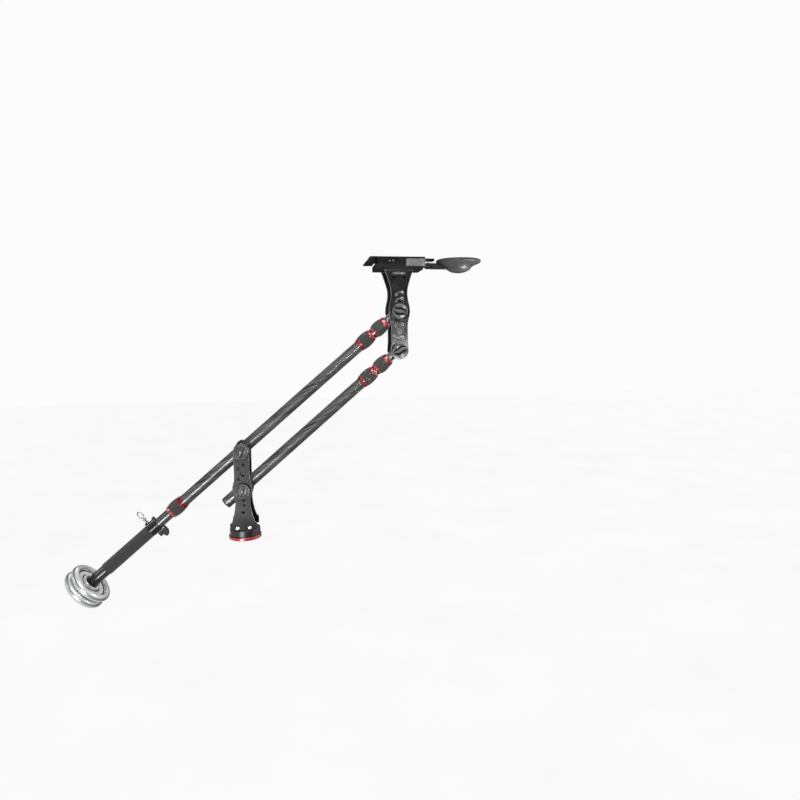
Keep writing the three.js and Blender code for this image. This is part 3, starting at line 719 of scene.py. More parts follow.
# ------------------------------------------------------------------ tripod interface and pan joint
Piece("ring", BASE, "tripod_mount", "red_anodised", ["tripod_ring"]).add(lathe("z", [
    (0, 7.3, 0.3), (0, 9.5, 0.3), (0.7, 10.2, 0.3), (0.7, 20.5, 0.3), (0, 21.2, 0.3), (0, 38.4, 0.3), (1.1, 39.5, 0.4),
    (3.1, 39.5, 0.2), (3.5, 39.1, 0.15), (3.9, 39.5, 0.2), (7.0, 39.5, 0.5), (8, 38.6, 0.3), (8, 10, 0.2), (21, 10, 0.3), (21, 7.3, 0.3),
], n=160), RED_Z).done()
Piece("insert", BASE, "tripod_mount", "brass", ["thread_insert"]).add(thread("z", 0.3, 20, 4.76, 3.95, 1.5875, n=48, per_turn=10, bore=True, back=7.0), BRASS).done(angle=50)
Piece("disc", BASE, "base", "gloss_black", ["pan_disc"]).add(lathe("z", [
    (8.4, 30.5, 0.2), (8.4, 36, 0.3), (9.4, 37, 0.5), (23.3, 37, 0.9), (24.7, 35.6, 0.4), (24.7, 17, 0.3), (18, 17, 0.3),
    (18, 10.4, 0.2), (9.9, 10.4, 0.2), (9.9, 30.5, 0.3),
], n=160), GLOSS_BLACK).done()

# ------------------------------------------------------------------ base bracket
BASE_BOLTS = [(-14.2, 32.5), (14.2, 32.5)]
Piece("foot_block", BASE, "base", "alloy", ["base_block"]).add(box(-22, 22, -29.7, 29.7, 25, 42, 0.8), PLATE_BLACK).done()

BASE_SIDE = [
    (25, 32.4, 0.8), (43, 32.4, 1.2), (46.5, 27.6, 1.2), (60, 23.3, 8), (75, 20, 8), (92, 17.6, 10), (104, 18.4, 8), (115, 21.8, 8),
    (126, 24, 8), (138, 22.8, 8), (149, 19.4, 8), (160, 18.4, 8), (205, 18.8, 8),
]


def arc(cx, cz, r, start, stop, n):
    return [(cx + r * math.cos(math.radians(start + (stop - start) * i / n)), cz + r * math.sin(math.radians(start + (stop - start) * i / n))) for i in range(n + 1)]


def sides(rows, seg=5):
    """A smooth right edge from half widths, bottom to top."""
    return rounded([(w, z, f) for z, w, f in rows], False, seg)


base_right = sides(BASE_SIDE)
base_outline = base_right + arc(0, UPPER_Z, 19.4, 0, 180, 28) + [(-u, v) for u, v in reversed(base_right)]
BASE_SMALL = [(3.8, 188.6), (-8.4, 180), (-1, 167.5), (2.8, 162), (-8.5, 153.5), (2.8, 100.7), (3.4, 88.2), (0.7, 70.6)]
base_holes = [circle(0, UPPER_Z, 4.3), circle(0, LOWER_Z, 4.3)] + [circle(x, z, 3.3) for x, z in BASE_BOLTS] + [circle(x, z, 2.2, 20) for x, z in BASE_SMALL]


def bead(points, y, r=0.42, closed=False):
    return sweep([(u, y, v) for u, v in points], r, closed, n=8)


def ring_bead(x, z, r, y, thick=0.4):
    return bead(circle(x, z, r, 32), y, thick, True)


def bracket(name, node_name, at, body, slot, outline, holes, near, main, edge, lines=(), dark=None):
    y0, y1 = (-PLATE_OUT, -PLATE_IN) if near else (PLATE_IN, PLATE_OUT)
    p = Piece(name, at, body, slot, [node_name])
    # The walls take dark: on the grey base plate that is painted shade.
    p.add(plate(outline, y0, y1, holes, bevel=1.3, seg=2), main, edge=edge, wall=dark or main)
    face = -PLATE_OUT if near else PLATE_OUT
    for line in lines:
        p.add(shifted(line, 0, face, 0), edge)
    return p


base_lines = [
    bead(spline([(1.2, 188.3), (-2.5, 187.2), (-6, 184.8), (-7.4, 182.6)]), 0),
    bead(spline([(1.6, 168.4), (4.5, 167.6), (5.8, 165.8), (4.9, 163.8)]), 0),
    bead(spline([(-6.2, 154.6), (-3, 156.4), (0, 158.4), (1.6, 159.9)]), 0),
    bead(spline([(4.8, 98.8), (6.4, 96.5), (6.5, 93), (5, 90.4)]), 0),
]
p = bracket("base_plate", "base_plate_near", BASE, "base", "bracket_grey", base_outline, base_holes, True, PLATE_GREY, EDGE_GREY, base_lines, PLATE_BLACK)
# Near-black rings round the small holes: painted shade of the holes.
for x, z in BASE_SMALL:
    p.add(ring_bead(x, z, 2.75, -PLATE_OUT, 0.65), DARK)
p.done()
# The far base plate gets the near-black instead of its grey: painted shade.
bracket("base_plate_back", "base_plate_far", BASE, "base", "bracket_grey", base_outline, base_holes, False, PLATE_BLACK, EDGE_GREY, base_lines, PLATE_BLACK).done()
# A near-black disc inside one hole of the far plate, so the hole shows dark: painted shade.
Piece("painted_shade_plug", BASE, "base", "bracket_black").add(shifted(lathe("y", [(30.8, 0), (30.8, 1.6, 0.2), (33.2, 1.6, 0.2), (33.2, 0)], n=24), -8.5, 0, 153.5), PLATE_BLACK).done()

for i, (x, z) in enumerate(BASE_BOLTS):
    p = Piece(f"foot_bolt_{i + 1}", BASE, "base", "steel", [f"base_bolt_{i + 1}"])
    p.add(shifted(socket_head("y", -34.3, -1, 4.8, 3.0, 2.4), x, 0, z), STEEL)
    p.add(shifted(socket_head("y", 34.3, 1, 4.8, 3.0, 2.4), x, 0, z), STEEL)
    p.add(shifted(lathe("y", [(-34.6, 0), (-34.6, 3.0), (34.6, 3.0), (34.6, 0)], n=32), x, 0, z), STEEL)
    p.done(angle=30)


# ------------------------------------------------------------------ pivots
def stud_shells(x):
    near = lathe("y", [(-38.4, 0), (-38.4, 3.4, 0.3), (-37.7, 4.0, 0.3), (-27, 4.0), (-27, 0)], n=32)
    far = lathe("y", [(27, 0), (27, 4.0), (37.8, 4.0, 0.3), (38.5, 3.4, 0.3), (38.5, 0)], n=32)
    return [shifted(near, x), shifted(far, x)]


def spacers(x):
    """The turned sleeves between the carrier and the two plates."""
    return [shifted(lathe("y", [(side * 17, 0), (side * 17, 10.0), (side * 21.4, 10.0, 0.3), (side * 21.8, 9.3, 0.3), (side * 22.6, 9.3, 0.3), (side * 23.0, 10.0, 0.3),
                                (side * 29.1, 10.0, 0.5), (side * 29.7, 9.4, 0.3), (side * 29.7, 0)], n=56), x) for side in (-1, 1)]


def saddle(name, node_name, at, body):
    barrel = lathe("y", [(-20, 0), (-20, 18.3, 0.5), (-19.3, 19, 0.5), (-15.5, 19, 0.3), (-15.0, 18.4, 0.3), (-14.5, 18.4, 0.3), (-14.0, 19, 0.3),
                         (14.0, 19, 0.3), (14.5, 18.4, 0.3), (15.0, 18.4, 0.3), (15.5, 19, 0.3), (19.3, 19, 0.5), (20, 18.3, 0.5), (20, 0)], n=72)
    bored = carve(barrel, lathe("x", [(-30, 0), (-30, 14.3), (30, 14.3), (30, 0)], n=72))
    p = Piece(name, at, body, "alloy", [node_name]).add(bored, SATIN_BLACK)
    for s in spacers(0):
        p.add(s, ALLOY)
    for s in stud_shells(0):
        p.add(s, STEEL)
    p.done(angle=30)


saddle("saddle_upper", "upper_saddle", UPPER, "upper_boom")
saddle("saddle_lower", "lower_saddle", LOWER, "lower_boom")


def eye(name, node_name, at, body):
    barrel = shifted(lathe("y", [(-18, 0), (-18, 16.2, 0.6), (-17.2, 17, 0.6), (17.2, 17, 0.6), (18, 16.2, 0.6), (18, 0)], n=72), ARM)
    p = Piece(name, at, body, "alloy", [node_name]).add(barrel, SATIN_BLACK)
    for s in spacers(ARM):
        p.add(s, ALLOY)
    p.add(lathe("x", [(470, 0), (470, 8.7, 0.4), (471, 9.5, 0.4), (500, 9.5), (500, 0)], n=64), SATIN_BLACK)
    for s in stud_shells(ARM):
        p.add(s, STEEL)
    p.done(angle=30)


eye("eye_upper", "upper_head_eye", UPPER, "upper_inner")
eye("eye_lower", "lower_head_eye", LOWER, "lower_inner")


def cap_nut(name, node_name, at, body, x):
    profile = [(39, 0), (39, 4.3), (34.3, 4.3), (34.3, 8.6, 0.3), (34.9, 9.0, 0.3), (38.6, 8.8, 0.5), (39.3, 6.6, 0.6), (40.6, 5.2, 1.2), (41.3, 2.5, 1.2), (41.3, 0)]
    shell = lathe("y", profile, n=60, seg=4, shape=lambda a, r, t: min(r, 7.9 / max(0.866, math.cos((t + math.pi / 6) % (math.pi / 3) - math.pi / 6))) if r > 7 else r)
    Piece(name, at, body, "steel", [node_name]).add(shifted(shell, x), STEEL).done(angle=28)


cap_nut("cap_nut_base_upper", "base_upper_nut", UPPER, "upper_boom", 0)
cap_nut("cap_nut_base_lower", "base_lower_nut", LOWER, "lower_boom", 0)
cap_nut("cap_nut_head_upper", "head_upper_nut", UPPER, "upper_inner", ARM)
cap_nut("cap_nut_head_lower", "head_lower_nut", LOWER, "lower_inner", ARM)


def s_line(u, reach, bend):
    return bend * math.sin(math.pi * max(-1.0, min(1.0, u / reach)))


def leaf(s, half):
    """Half width of the wing: widest in the middle, narrow at its ends."""
    return 1.3 + (half - 1.3) * max(0.0, 1 - abs(s) ** 1.7)


def wing(reach, half, top, ends, base, bend, steps=32):
    """A crowned leaf along X, curved in an S, standing out along -Y."""
    sections = []
    for i in range(steps + 1):
        s = -1 + 2 * i / steps
        u = s * reach
        w = leaf(s, half) * max(0.12, math.sqrt(max(0.0, 1 - max(0.0, (abs(s) - 0.86) / 0.14) ** 2)))
        crown = ends + (top - ends) * (1 - s * s) ** 0.8
        shift = s_line(u, reach, bend)
        h = crown - base
        ring = [(-1.0, 0.0), (-0.99, 0.28), (-0.86, 0.55), (-0.62, 0.8), (-0.32, 0.95), (0.0, 1.0), (0.32, 0.95), (0.62, 0.8), (0.86, 0.55), (0.99, 0.28), (1.0, 0.0)]
        sections.append([(u, base + h * q, shift + w * k) for k, q in ring])
    return loft(sections)


def groove(side, reach, gap, half, floor, bend, steps=32, top=-60):
    """A cutter beside the wing: it follows the S and narrows towards its ends."""
    sections = []
    for i in range(steps + 1):
        s = -1 + 2 * i / steps
        u = s * reach * 0.94
        w = half * math.sqrt(max(0.02, 1 - abs(s) ** 3))
        c = s_line(u, reach, bend) + side * (leaf(s, gap) - 0.3 + half)
        sections.append([(u, top, c - w), (u, top, c + w), (u, floor, c + w), (u, floor, c - w)])
    return loft(sections)


def knob(name, node_name, at, body, r, turn, x, dot=False):
    p = Piece(name, at, body, "knob_grey", [node_name])
    bend, half, slot = 1.8, 5.4, (1.3 if dot else 2.3)
    closed = lathe("y", [
        (-34.3, 0), (-34.3, r - 1.0, 0.4), (-35.4, r, 0.5), (-42.4, r, 1.0), (-43.7, r - 1.3, 0.6),
        (-43.6, r - 2.0, 0.4), (-40.9, r - 8.2, 1.5), (-40.7, 6.0, 2.0), (-40.7, 0),
    ], n=96)
    cut = carve(closed, groove(1, r - 1.0, half, slot, -38.5, bend), groove(-1, r - 1.0, half, slot, -38.5, bend),
                lathe("y", [(-38.8, 0), (-38.8, 4.3), (-30, 4.3), (-30, 0)], n=48), bevel=0.3, seg=2, angle=40)
    p.add(shifted(turned(cut, -turn), x), KNOB)
    # Near-black strips on the groove floors: painted shade.
    if not dot:
        for side in (-1, 1):
            p.add(shifted(turned(groove(side, r - 1.0, half, slot + 0.1, -38.2, bend, top=-39.0), -turn), x), DARK)
    p.add(shifted(turned(wing(r - 1.6, half, -47.7, -43.6, -39.2, bend), -turn), x), KNOB)
    if dot:
        p.add(shifted(lathe("y", [(-46.0, 0), (-46.0, 1.9), (-47.6, 1.9, 0.5), (-47.8, 1.2, 0.4), (-47.8, 0)], n=32), x), EDGE_GREY)
    p.done(angle=40)


knob("knob_base_upper", "base_upper_knob", UPPER, "base_upper_knob", 18, 15, 0, True)
knob("knob_base_lower", "base_lower_knob", LOWER, "base_lower_knob", 18, 15, 0, True)
knob("knob_head_upper", "head_upper_knob", UPPER, "head_upper_knob", 19, -62, ARM)
knob("knob_head_lower", "head_lower_knob", LOWER, "head_lower_knob", 19, -25, ARM)

# ------------------------------------------------------------------ tubes
SIDES = 112


def tube(name, node_name, at, body, x0, x1, r, material, slot="carbon", wall=1.2):
    shell = lathe("x", [(x0, r - wall, 0.3), (x0, r, 0.4), (x1, r, 0.4), (x1, r - wall, 0.3)], n=SIDES)
    Piece(name, at, body, slot, [node_name]).add(shell, material).done()


OFFSET = {"upper": -3.5, "lower": 3.0}
for arm, at in (("upper", UPPER), ("lower", LOWER)):
    tube(f"outer_tube_{arm}", f"{arm}_tube", at, f"{arm}_boom", -211 if arm == "upper" else -55, 412 + OFFSET[arm], 14, CARBON)
    tube(f"middle_tube_{arm}", f"{arm}_mid_tube", at, f"{arm}_mid", 2 + OFFSET[arm], 462 + OFFSET[arm], 12.5, CARBON)
    tube(f"inner_tube_{arm}", f"{arm}_inner_tube", at, f"{arm}_inner", 52 + OFFSET[arm], 497.5, 11, CARBON)
tube("rear_tube_shell", "rear_tube", UPPER, "rear", -448, -37, 12.5, CARBON_SMOOTH)


def ribs(count, depth, x0, x1):
    """Fine lengthwise ribs that fade out at the ends of the rubber."""
    def shape(a, r, t):
        fade = min(1.0, max(0.0, (a - x0) / 1.6), max(0.0, (x1 - a) / 1.6))
        return r - depth * fade * (0.5 - 0.5 * math.cos(count * t)) ** 2
    return shape


def barrel(x0, x1, r0, rm, r1, inner, steps=18, count=44, depth=0.45):
    """A rubber sleeve with a bulging outline over a core. Its ends turn in with a small round."""
    profile = [(x0, inner, 0)]
    for i in range(steps + 1):
        s = i / steps
        bulge = rm - (rm - (r0 if s < 0.5 else r1)) * abs(2 * s - 1) ** 2.2
        if i in (0, steps):
            bulge -= 0.45
        profile.append((x0 + (x1 - x0) * s, bulge, 0))
    profile.append((x1, inner, 0))
    return lathe("x", profile, n=count * 8, seg=1, shape=ribs(count, depth, x0, x1))


def slid(profile, by):
    return [(q[0] + by, *q[1:]) for q in profile]


def lock_front(arm, at):
    by = OFFSET[arm]
    p = Piece(f"lock_1_{arm}", at, f"{arm}_lock_1", "red_anodised", [f"{arm}_lock_1"])
    p.add(lathe("x", slid([
        (388, 14.3), (388, 15.2, 0.3), (388.6, 15.6, 0.4), (391, 15.8, 1), (393.4, 16.0, 0.5), (395.6, 16.9, 0.6), (396.6, 17.0, 0.3), (397.0, 16.0, 0.2),
        (424.6, 15.9, 0.2), (425.2, 16.6, 0.4), (426.6, 16.9, 0.5), (429.2, 16.3, 0.9), (431.2, 15.5, 0.5), (432, 14.8, 0.3),
        (432, 12.8), (429, 12.8), (429, 15.4), (412.3, 15.4), (412.3, 14.3),
    ], by), n=SIDES), RED_X)
    p.add(barrel(396.6 + by, 424.9 + by, 17.2, 18.5, 17.0, 15.7), RIBBED)
    p.done(angle=40)
    p = Piece(f"lock_2_{arm}", at, f"{arm}_lock_2", "red_anodised", [f"{arm}_lock_2"])
    p.add(lathe("x", slid([
        (433, 12.8), (433, 13.5, 0.3), (433.6, 13.9, 0.3), (438.6, 13.9, 1.2), (440.2, 14.6, 0.8), (441.8, 16.3, 0.6), (442.9, 16.6, 0.3), (443.3, 15.6, 0.2),
        (469.6, 15.6, 0.2), (470.2, 16.5, 0.4), (471.4, 16.9, 0.5), (475.5, 16.6, 1.5), (478.6, 15.9, 0.8), (480.6, 15.4, 0.8), (482, 13.8, 0.4),
        (482, 11.3), (478.7, 11.3), (478.7, 14.0), (462.3, 14.0), (462.3, 12.8),
    ], by), n=SIDES), RED_X)
    p.add(barrel(442.9 + by, 469.9 + by, 16.6, 18.5, 17.0, 15.2), RIBBED)
    p.done(angle=40)


lock_front("upper", UPPER)
lock_front("lower", LOWER)
p = Piece("lock_rear", UPPER, "rear_lock", "red_anodised", ["rear_lock"])
p.add(lathe("x", slid([
    (-183, 14.3), (-183, 15.2, 0.3), (-183.6, 15.6, 0.4), (-187, 15.9, 1), (-189.6, 16.6, 0.6), (-192.4, 17.0, 0.5), (-193.0, 16.7, 0.3), (-193.4, 16.0, 0.2),
    (-217.6, 16.0, 0.2), (-218.0, 16.7, 0.3), (-219.4, 17.0, 0.5), (-223.4, 16.2, 1.2), (-226.2, 15.5, 0.6), (-227, 14.8, 0.3),
    (-227, 12.8), (-224, 12.8), (-224, 15.4), (-207.3, 15.4), (-207.3, 14.3),
], -4), n=SIDES), RED_X)
p.add(barrel(-222.0, -197.0, 17.1, 18.5, 17.1, 15.7), RIBBED)
p.done(angle=40)

Piece("end_cap", LOWER, "lower_boom", "gloss_black", ["lower_end_cap"]).add(lathe("x", slid([
    (-54, 0), (-54, 10.0, 0.4), (-53.4, 10.6, 0.3), (-53.4, 11.0, 0.3), (-54, 11.6, 0.3), (-54, 12.9, 0.4), (-53, 14, 0.6), (-51.3, 14, 0.1), (-51.3, 12.5), (-43, 12.5), (-43, 0),
], -4), n=SIDES), MOULDED).done()

# ------------------------------------------------------------------ tail
tail_shell = lathe("x", [(-471, 12.8, 0.2), (-471, 14, 0.3), (-273.5, 14, 0.3), (-273.5, 12.8, 0.2)], n=SIDES)
SCREW_X = -286.0
thumb_bore = shifted(lathe("z", [(8, 0), (8, 3.3), (30, 3.3), (30, 0)], n=32), SCREW_X)
Piece("tail_sleeve", UPPER, "tail", "gloss_black", ["tail_tube"]).add(carve(tail_shell, thumb_bore), GLOSS_BLACK_X).done()


Piece("grip", UPPER, "tail", "foam", ["tail_grip"]).add(lathe("x", [
    (-432, 14.3), (-432, 15.0, 0.4), (-431.3, 15.6, 0.6), (-294.0, 15.6, 0.6), (-293.3, 15.0, 0.4), (-293.3, 14.3),
], n=SIDES), GRIP).done()

collar = lathe("x", slid([(-291.5, 0), (-291.5, 15.9, 0.4), (-291.0, 16.4, 0.4), (-273.6, 16.4, 0.4), (-273.0, 15.6, 0.3), (-271.2, 15.6, 0.3), (-270.6, 16.4, 0.4),
                          (-268.4, 16.4, 0.4), (-268, 16.0, 0.3), (-268, 0)], -1.5), n=SIDES)
pad = box(-292, -267.8, -8.5, 8.5, 10, 17.6, 1.0)
ridge_a = box(-292, -288.7, -8.5, 8.5, 10, 21, 0.9)
ridge_b = box(-271.1, -267.8, -8.5, 8.5, 10, 21, 0.9)
hook_line = rounded([(-285.5, -12), (-285.5, -27, 3.0), (-282.1, -28.8, 2.5), (-279, -26, 1.5), (-273.9, -38, 3.2), (-268.5, -34.5, 3.0), (-263, -27, 3.5), (-263, -14, 3.0), (-270, -10)], True, 6)
hook = plate(hook_line, -5.5, 5.5, (), bevel=0.9, seg=2)
joined = carve(collar, pad, ridge_a, ridge_b, hook, operation="UNION")
bored = carve(joined,
              lathe("x", [(-300, 0), (-300, 14.3), (-273.2, 14.3), (-273.2, 12.8), (-255, 12.8), (-255, 0)], n=SIDES),
              box(-300, -250, -0.9, 0.9, -41, -11, 0), thumb_bore)
Piece("collar", UPPER, "tail", "satin_black", ["tail_collar"]).add(bored, COLLAR).done(angle=32)
loop = [(SCREW_X + 5.4 * math.cos(t), 0, 43.6 + 8.8 * math.sin(t)) for t in [2 * math.pi * i / 64 for i in range(64)]]
p = Piece("thumb_loop", UPPER, "thumb_screw", "steel", ["tail_thumb_screw"])
p.add(sweep(loop, 1.6, True, n=20, flat=1.3), LOOP)
p.add(shifted(thread("z", 13.3, 28.7, 3.0, 2.5, 1.0, n=40, per_turn=10), SCREW_X), LOOP)
p.add(shifted(lathe("z", [(28.4, 0), (28.4, 4.6, 0.3), (29.0, 5.0, 0.3), (31.0, 5.0, 0.3), (31.6, 4.4, 0.3), (32.2, 2.8, 0.5), (35.2, 2.2, 0.5), (35.2, 0)], n=48), SCREW_X), LOOP)
p.done(angle=32)

Piece("plug", UPPER, "tail", "gloss_black", ["tail_plug"]).add(lathe("x", [
    (-451, 0), (-451, 12.0, 0.4), (-452, 12.5, 0.4), (-471.3, 12.5), (-471.3, 14.0, 0.3), (-473, 14.4, 1.0), (-478.1, 16.2, 0.8), (-480.1, 16.0, 0.6), (-480.8, 15.2, 0.3),
    (-480.8, 6), (-530.3, 6, 0.3), (-531, 5.3, 0.3), (-531, 0),
], n=SIDES), GLOSS_BLACK_X).done()


def weight(name, node_name, mid):
    """A plate with a fully rounded rim, a dished face with two turned grooves and a raised hub ring."""
    rim = [(mid + 9.45 * math.cos(math.radians(t)), 44.5 + 9.45 * math.sin(math.radians(t)), 0) for t in [-12.0 + 214.0 * i / 28 for i in range(29)]]
    profile = rim + [
        (mid - 8.5, 39.5, 0.6), (mid - 8.5, 38.4, 0.3), (mid - 7.1, 38.1, 0.3), (mid - 7.1, 36.7, 0.3), (mid - 8.5, 36.4, 0.3),
        (mid - 8.5, 25.7, 0.3), (mid - 7.1, 25.4, 0.3), (mid - 7.1, 24.0, 0.3), (mid - 8.5, 23.7, 0.3), (mid - 8.5, 18, 0.6), (mid - 18.3, 18, 0.5), (mid - 18.3, 6.3, 0.3), (mid + 1.9, 6.3, 0.3), (mid + 1.9, 18.5, 0.3),
        (mid + 5.9, 18.8, 0.8), (mid + 5.9, 22.6, 1.4), (mid + 0.6, 23.4, 0.4), (mid - 1.2, 23.8, 0.3), (mid - 1.2, 25.6, 0.3), (mid + 1.2, 26.2, 0.6), (mid + 1.6, 36.0, 0.6),
        (mid - 0.4, 36.5, 0.3), (mid - 0.4, 38.3, 0.3), (mid + 5.0, 40.2, 1.0), (mid + 7.4, 41.6, 0.4), (mid + 7.8, 42.2, 0.3),
    ]
    Piece(name, UPPER, "tail", "chrome", [node_name]).add(lathe("x", profile, n=160), CHROME).done(angle=40)


weight("weight_plate_front", "weight_front", -483.0)
weight("weight_plate_rear", "weight_rear", -503.5)


def lobed(count, depth):
    return lambda a, r, t: r - depth * (0.5 - 0.5 * math.cos(count * t)) ** 3 if r > 12 else r


Piece("nut", UPPER, "weight_nut", "steel", ["weight_nut"]).add(lathe("x", [
    (-522.1, 6.3, 0.2), (-522.1, 13.6, 0.3), (-522.8, 14, 0.4), (-530.4, 14, 0.8), (-532, 12.4, 0.6), (-532, 6.3, 0.3),
], n=144, shape=lobed(24, 0.8)), STEEL).done(angle=36)

# ------------------------------------------------------------------ head bracket
HEAD_SIDE = [
    (-85, 21.6, 6), (-73, 20.6, 8), (-37, 20.6, 8), (-25, 21.6, 8), (-12, 25, 8), (0, 26.8, 8), (13, 25.6, 8), (29, 21.8, 8), (44, 20.2, 8),
    (57, 21.6, 8), (70, 25, 8), (83, 29.2, 8), (93, 32.6, 6), (101, 36, 0.8),
]
head_right = sides(HEAD_SIDE)
head_outline = arc(0, -96, 22.4, 180, 360, 40) + head_right + [(-u, v) for u, v in reversed(head_right)]
HEAD_SMALL = [(7.5, 47), (-7.5, 40), (7, 31.5), (-8, 25), (7.5, -32.5), (-7.5, -39), (-2, -46), (1.5, -52.5), (7.5, -63.5), (-8.5, -68.5)]
HEAD_BOLTS = [(-13, 82.5), (13, 82.5)]
head_holes = [circle(0, 0, 4.3), circle(0, -96, 4.3)] + [circle(x, z, 3.3) for x, z in HEAD_BOLTS] + [circle(x, z, 2.2, 20) for x, z in HEAD_SMALL]
head_holes.append(stadium(0, 92.5, 13.8, 1.7))
head_lines = [
    bead(spline([(4.6, 47), (0, 47), (-5, 44.5), (-6.9, 42.8)]), 0),
    bead(spline([(4.1, 31.5), (0, 31.5), (-5, 29.5), (-7, 27.8)]), 0),
    bead(stadium(-0.3, -49.2, 3.6, 3.6, math.radians(-62), 12), 0, 0.42, True),
    bead(spline([(4.7, -64.3), (1, -65.4), (-3, -66.4), (-5.8, -67.6)]), 0),
]
p = bracket("head_plate", "head_plate_near", HEAD, "head", "bracket_black", head_outline, head_holes, True, PLATE_HEAD, EDGE_BLACK, head_lines, PLATE_BLACK)
for x, z in HEAD_SMALL:
    p.add(ring_bead(x, z, 2.6, -PLATE_OUT, 0.5), STEEL if x > 6 else EDGE_BLACK)
p.done()
bracket("head_plate_back", "head_plate_far", HEAD, "head", "bracket_black", head_outline, head_holes, False, PLATE_BLACK, EDGE_BLACK, head_lines, PLATE_BLACK).done()
Piece("slot_strip", HEAD, "head", "steel").add(box(-13.6, 13.6, -33.5, -29.5, 91.7, 93.3, 0.3), STEEL).done()
Piece("top_block", HEAD, "head", "alloy", ["head_block"]).add(box(-20, 20, -29.7, 29.7, 76, 100.7, 0.8), PLATE_BLACK).done()
for i, (x, z) in enumerate(HEAD_BOLTS):
    p = Piece(f"top_bolt_{i + 1}", HEAD, "head", "satin_black", [f"head_bolt_{i + 1}"])
    p.add(shifted(socket_head("y", -34.3, -1, 4.2, 1.2, 1.9, False), x, 0, z), DARK)
    p.add(shifted(socket_head("y", 34.3, 1, 4.2, 1.2, 1.9, False), x, 0, z), DARK)
    p.add(shifted(lathe("y", [(-34.6, 0), (-34.6, 3.0), (34.6, 3.0), (34.6, 0)], n=32), x, 0, z), DARK)
    p.done(angle=30)

# ------------------------------------------------------------------ clamp, camera plate and palm handle
tongue = arc(80, 0, 8, -90, 90, 24)
lower_part = box(-58, 60, -34, 34, 101.3, 115, 0)
lower_part = carve(lower_part, box(17.7, 70, -40, -27.2, 109.4, 120, 0), bevel=0.9, seg=2)
tongue_part = plate([(50, -8), (80, -8), *tongue[1:-1], (80, 8), (50, 8)], 110, 115, (circle(80, 0, 3.3),), bevel=0.4, seg=1, across="z")
Piece("clamp_foot", HEAD, "head", "bracket_black", ["clamp_base"]).add(lower_part, FOOT_GREY).add(tongue_part, SATIN_BLACK).done(angle=30)

body = box(-52, 67, -30, 30, 115.3, 128.7, 0)
body = carve(body, box(0, 15, -34, -28, 115.3, 128.7, 0), operation="UNION")
pocket = box(-33, -3, -34, -28.4, 118.6, 127.2, 0)
body = carve(body, box(-60, 80, -18.3, 18.3, 121.2, 140, 0), box(17.7, 80, -40, -18, 110, 140, 0), pocket, bevel=0.6, seg=2)
p = Piece("clamp_top", HEAD, "head", "bracket_black", ["clamp_body"]).add(body, CLAMP_BLACK)
p.done(angle=30)
for i, x in enumerate((-21.6, -13.1)):
    Piece(f"clamp_screw_{i + 1}", HEAD, "head", "steel").add(shifted(socket_head("y", -28.2, -1, 2.4, 1.6, 1.0), x, 0, 123.6), STEEL).done(angle=30)

jaw = carve(box(18, 67, -33, -18.3, 115.6, 128.7, 0), box(18, 67, -33, -27.5, 109.7, 128, 0), operation="UNION", bevel=0.9, seg=2)
Piece("jaw_block", HEAD, "jaw", "alloy", ["clamp_jaw"]).add(jaw, JAW_GREY).done(angle=30)

top = plate(rounded([(-70, -26, 1.5), (68, -26, 3), (68, 26, 3), (-70, 26, 1.5)], True, 5), 129, 134, (stadium(0, 0, 24.4, 3.6),), bevel=0.6, seg=2, across="z")
top = (top[0], top[1])
lip = plate([(-60, 116.0), (-60, 133.9), (-68, 134.0), (-82, 119), (-82, 116.0)], -26, 26, (), bevel=0.5, seg=2)
rib = box(-61, 68, -18, 18, 121.5, 130, 0.6)
bar = box(66, 94, -11, 11, 126, 132, 1.0)
whole = carve(top, lip[:2], rib, bar, operation="UNION")
whole = carve(whole, prism(stadium(0, 0, 24.4, 3.6), 110, 140, "z"), prism(stadium(0, 0, 27.4, 8.6), 110, 127, "z"))
PADS = ((-65, -31), (31, 63))
for x0, x1 in PADS:
    whole = carve(whole, box(x0, x1, -22, 22, 133.1, 140, 0))
p = Piece("quick_plate", HEAD, "camera_plate", "bracket_black", ["camera_plate"]).add(whole, CLAMP_BLACK)
p.done(angle=30)
for i, (x0, x1) in enumerate(PADS):
    count = 16
    step = (x1 - x0 - 0.6) / count
    ribbed = [(x0 + 0.3 + step * (k + q), z) for k in range(count) for q, z in ((0.08, 133.3), (0.3, 133.85), (0.7, 133.85), (0.92, 133.3))]
    pad_line = [(x0 + 0.3, 133.0), (x1 - 0.3, 133.0)] + list(reversed(ribbed))
    Piece(f"plate_pad_{i + 1}", HEAD, "camera_plate", "foam").add(prism(pad_line, -21.7, 21.7, "y"), GRIP).done(angle=20)

screw_head = carve(lathe("z", [(122, 0), (122, 7.2, 0.4), (122.6, 7.8, 0.4), (126.2, 7.8, 0.4), (126.7, 7.3, 0.3), (126.7, 0)], n=96, shape=lobed(36, 0.0)),
                   box(-8.5, 8.5, -0.8, 0.8, 121, 123.4, 0))
p = Piece("camera_bolt", HEAD, "camera_screw", "steel", ["camera_screw"])
p.add(screw_head, STEEL).add(thread("z", 126.5, 133.6, 3.17, 2.55, 1.27, n=40, per_turn=12), STEEL)
p.done(angle=40)

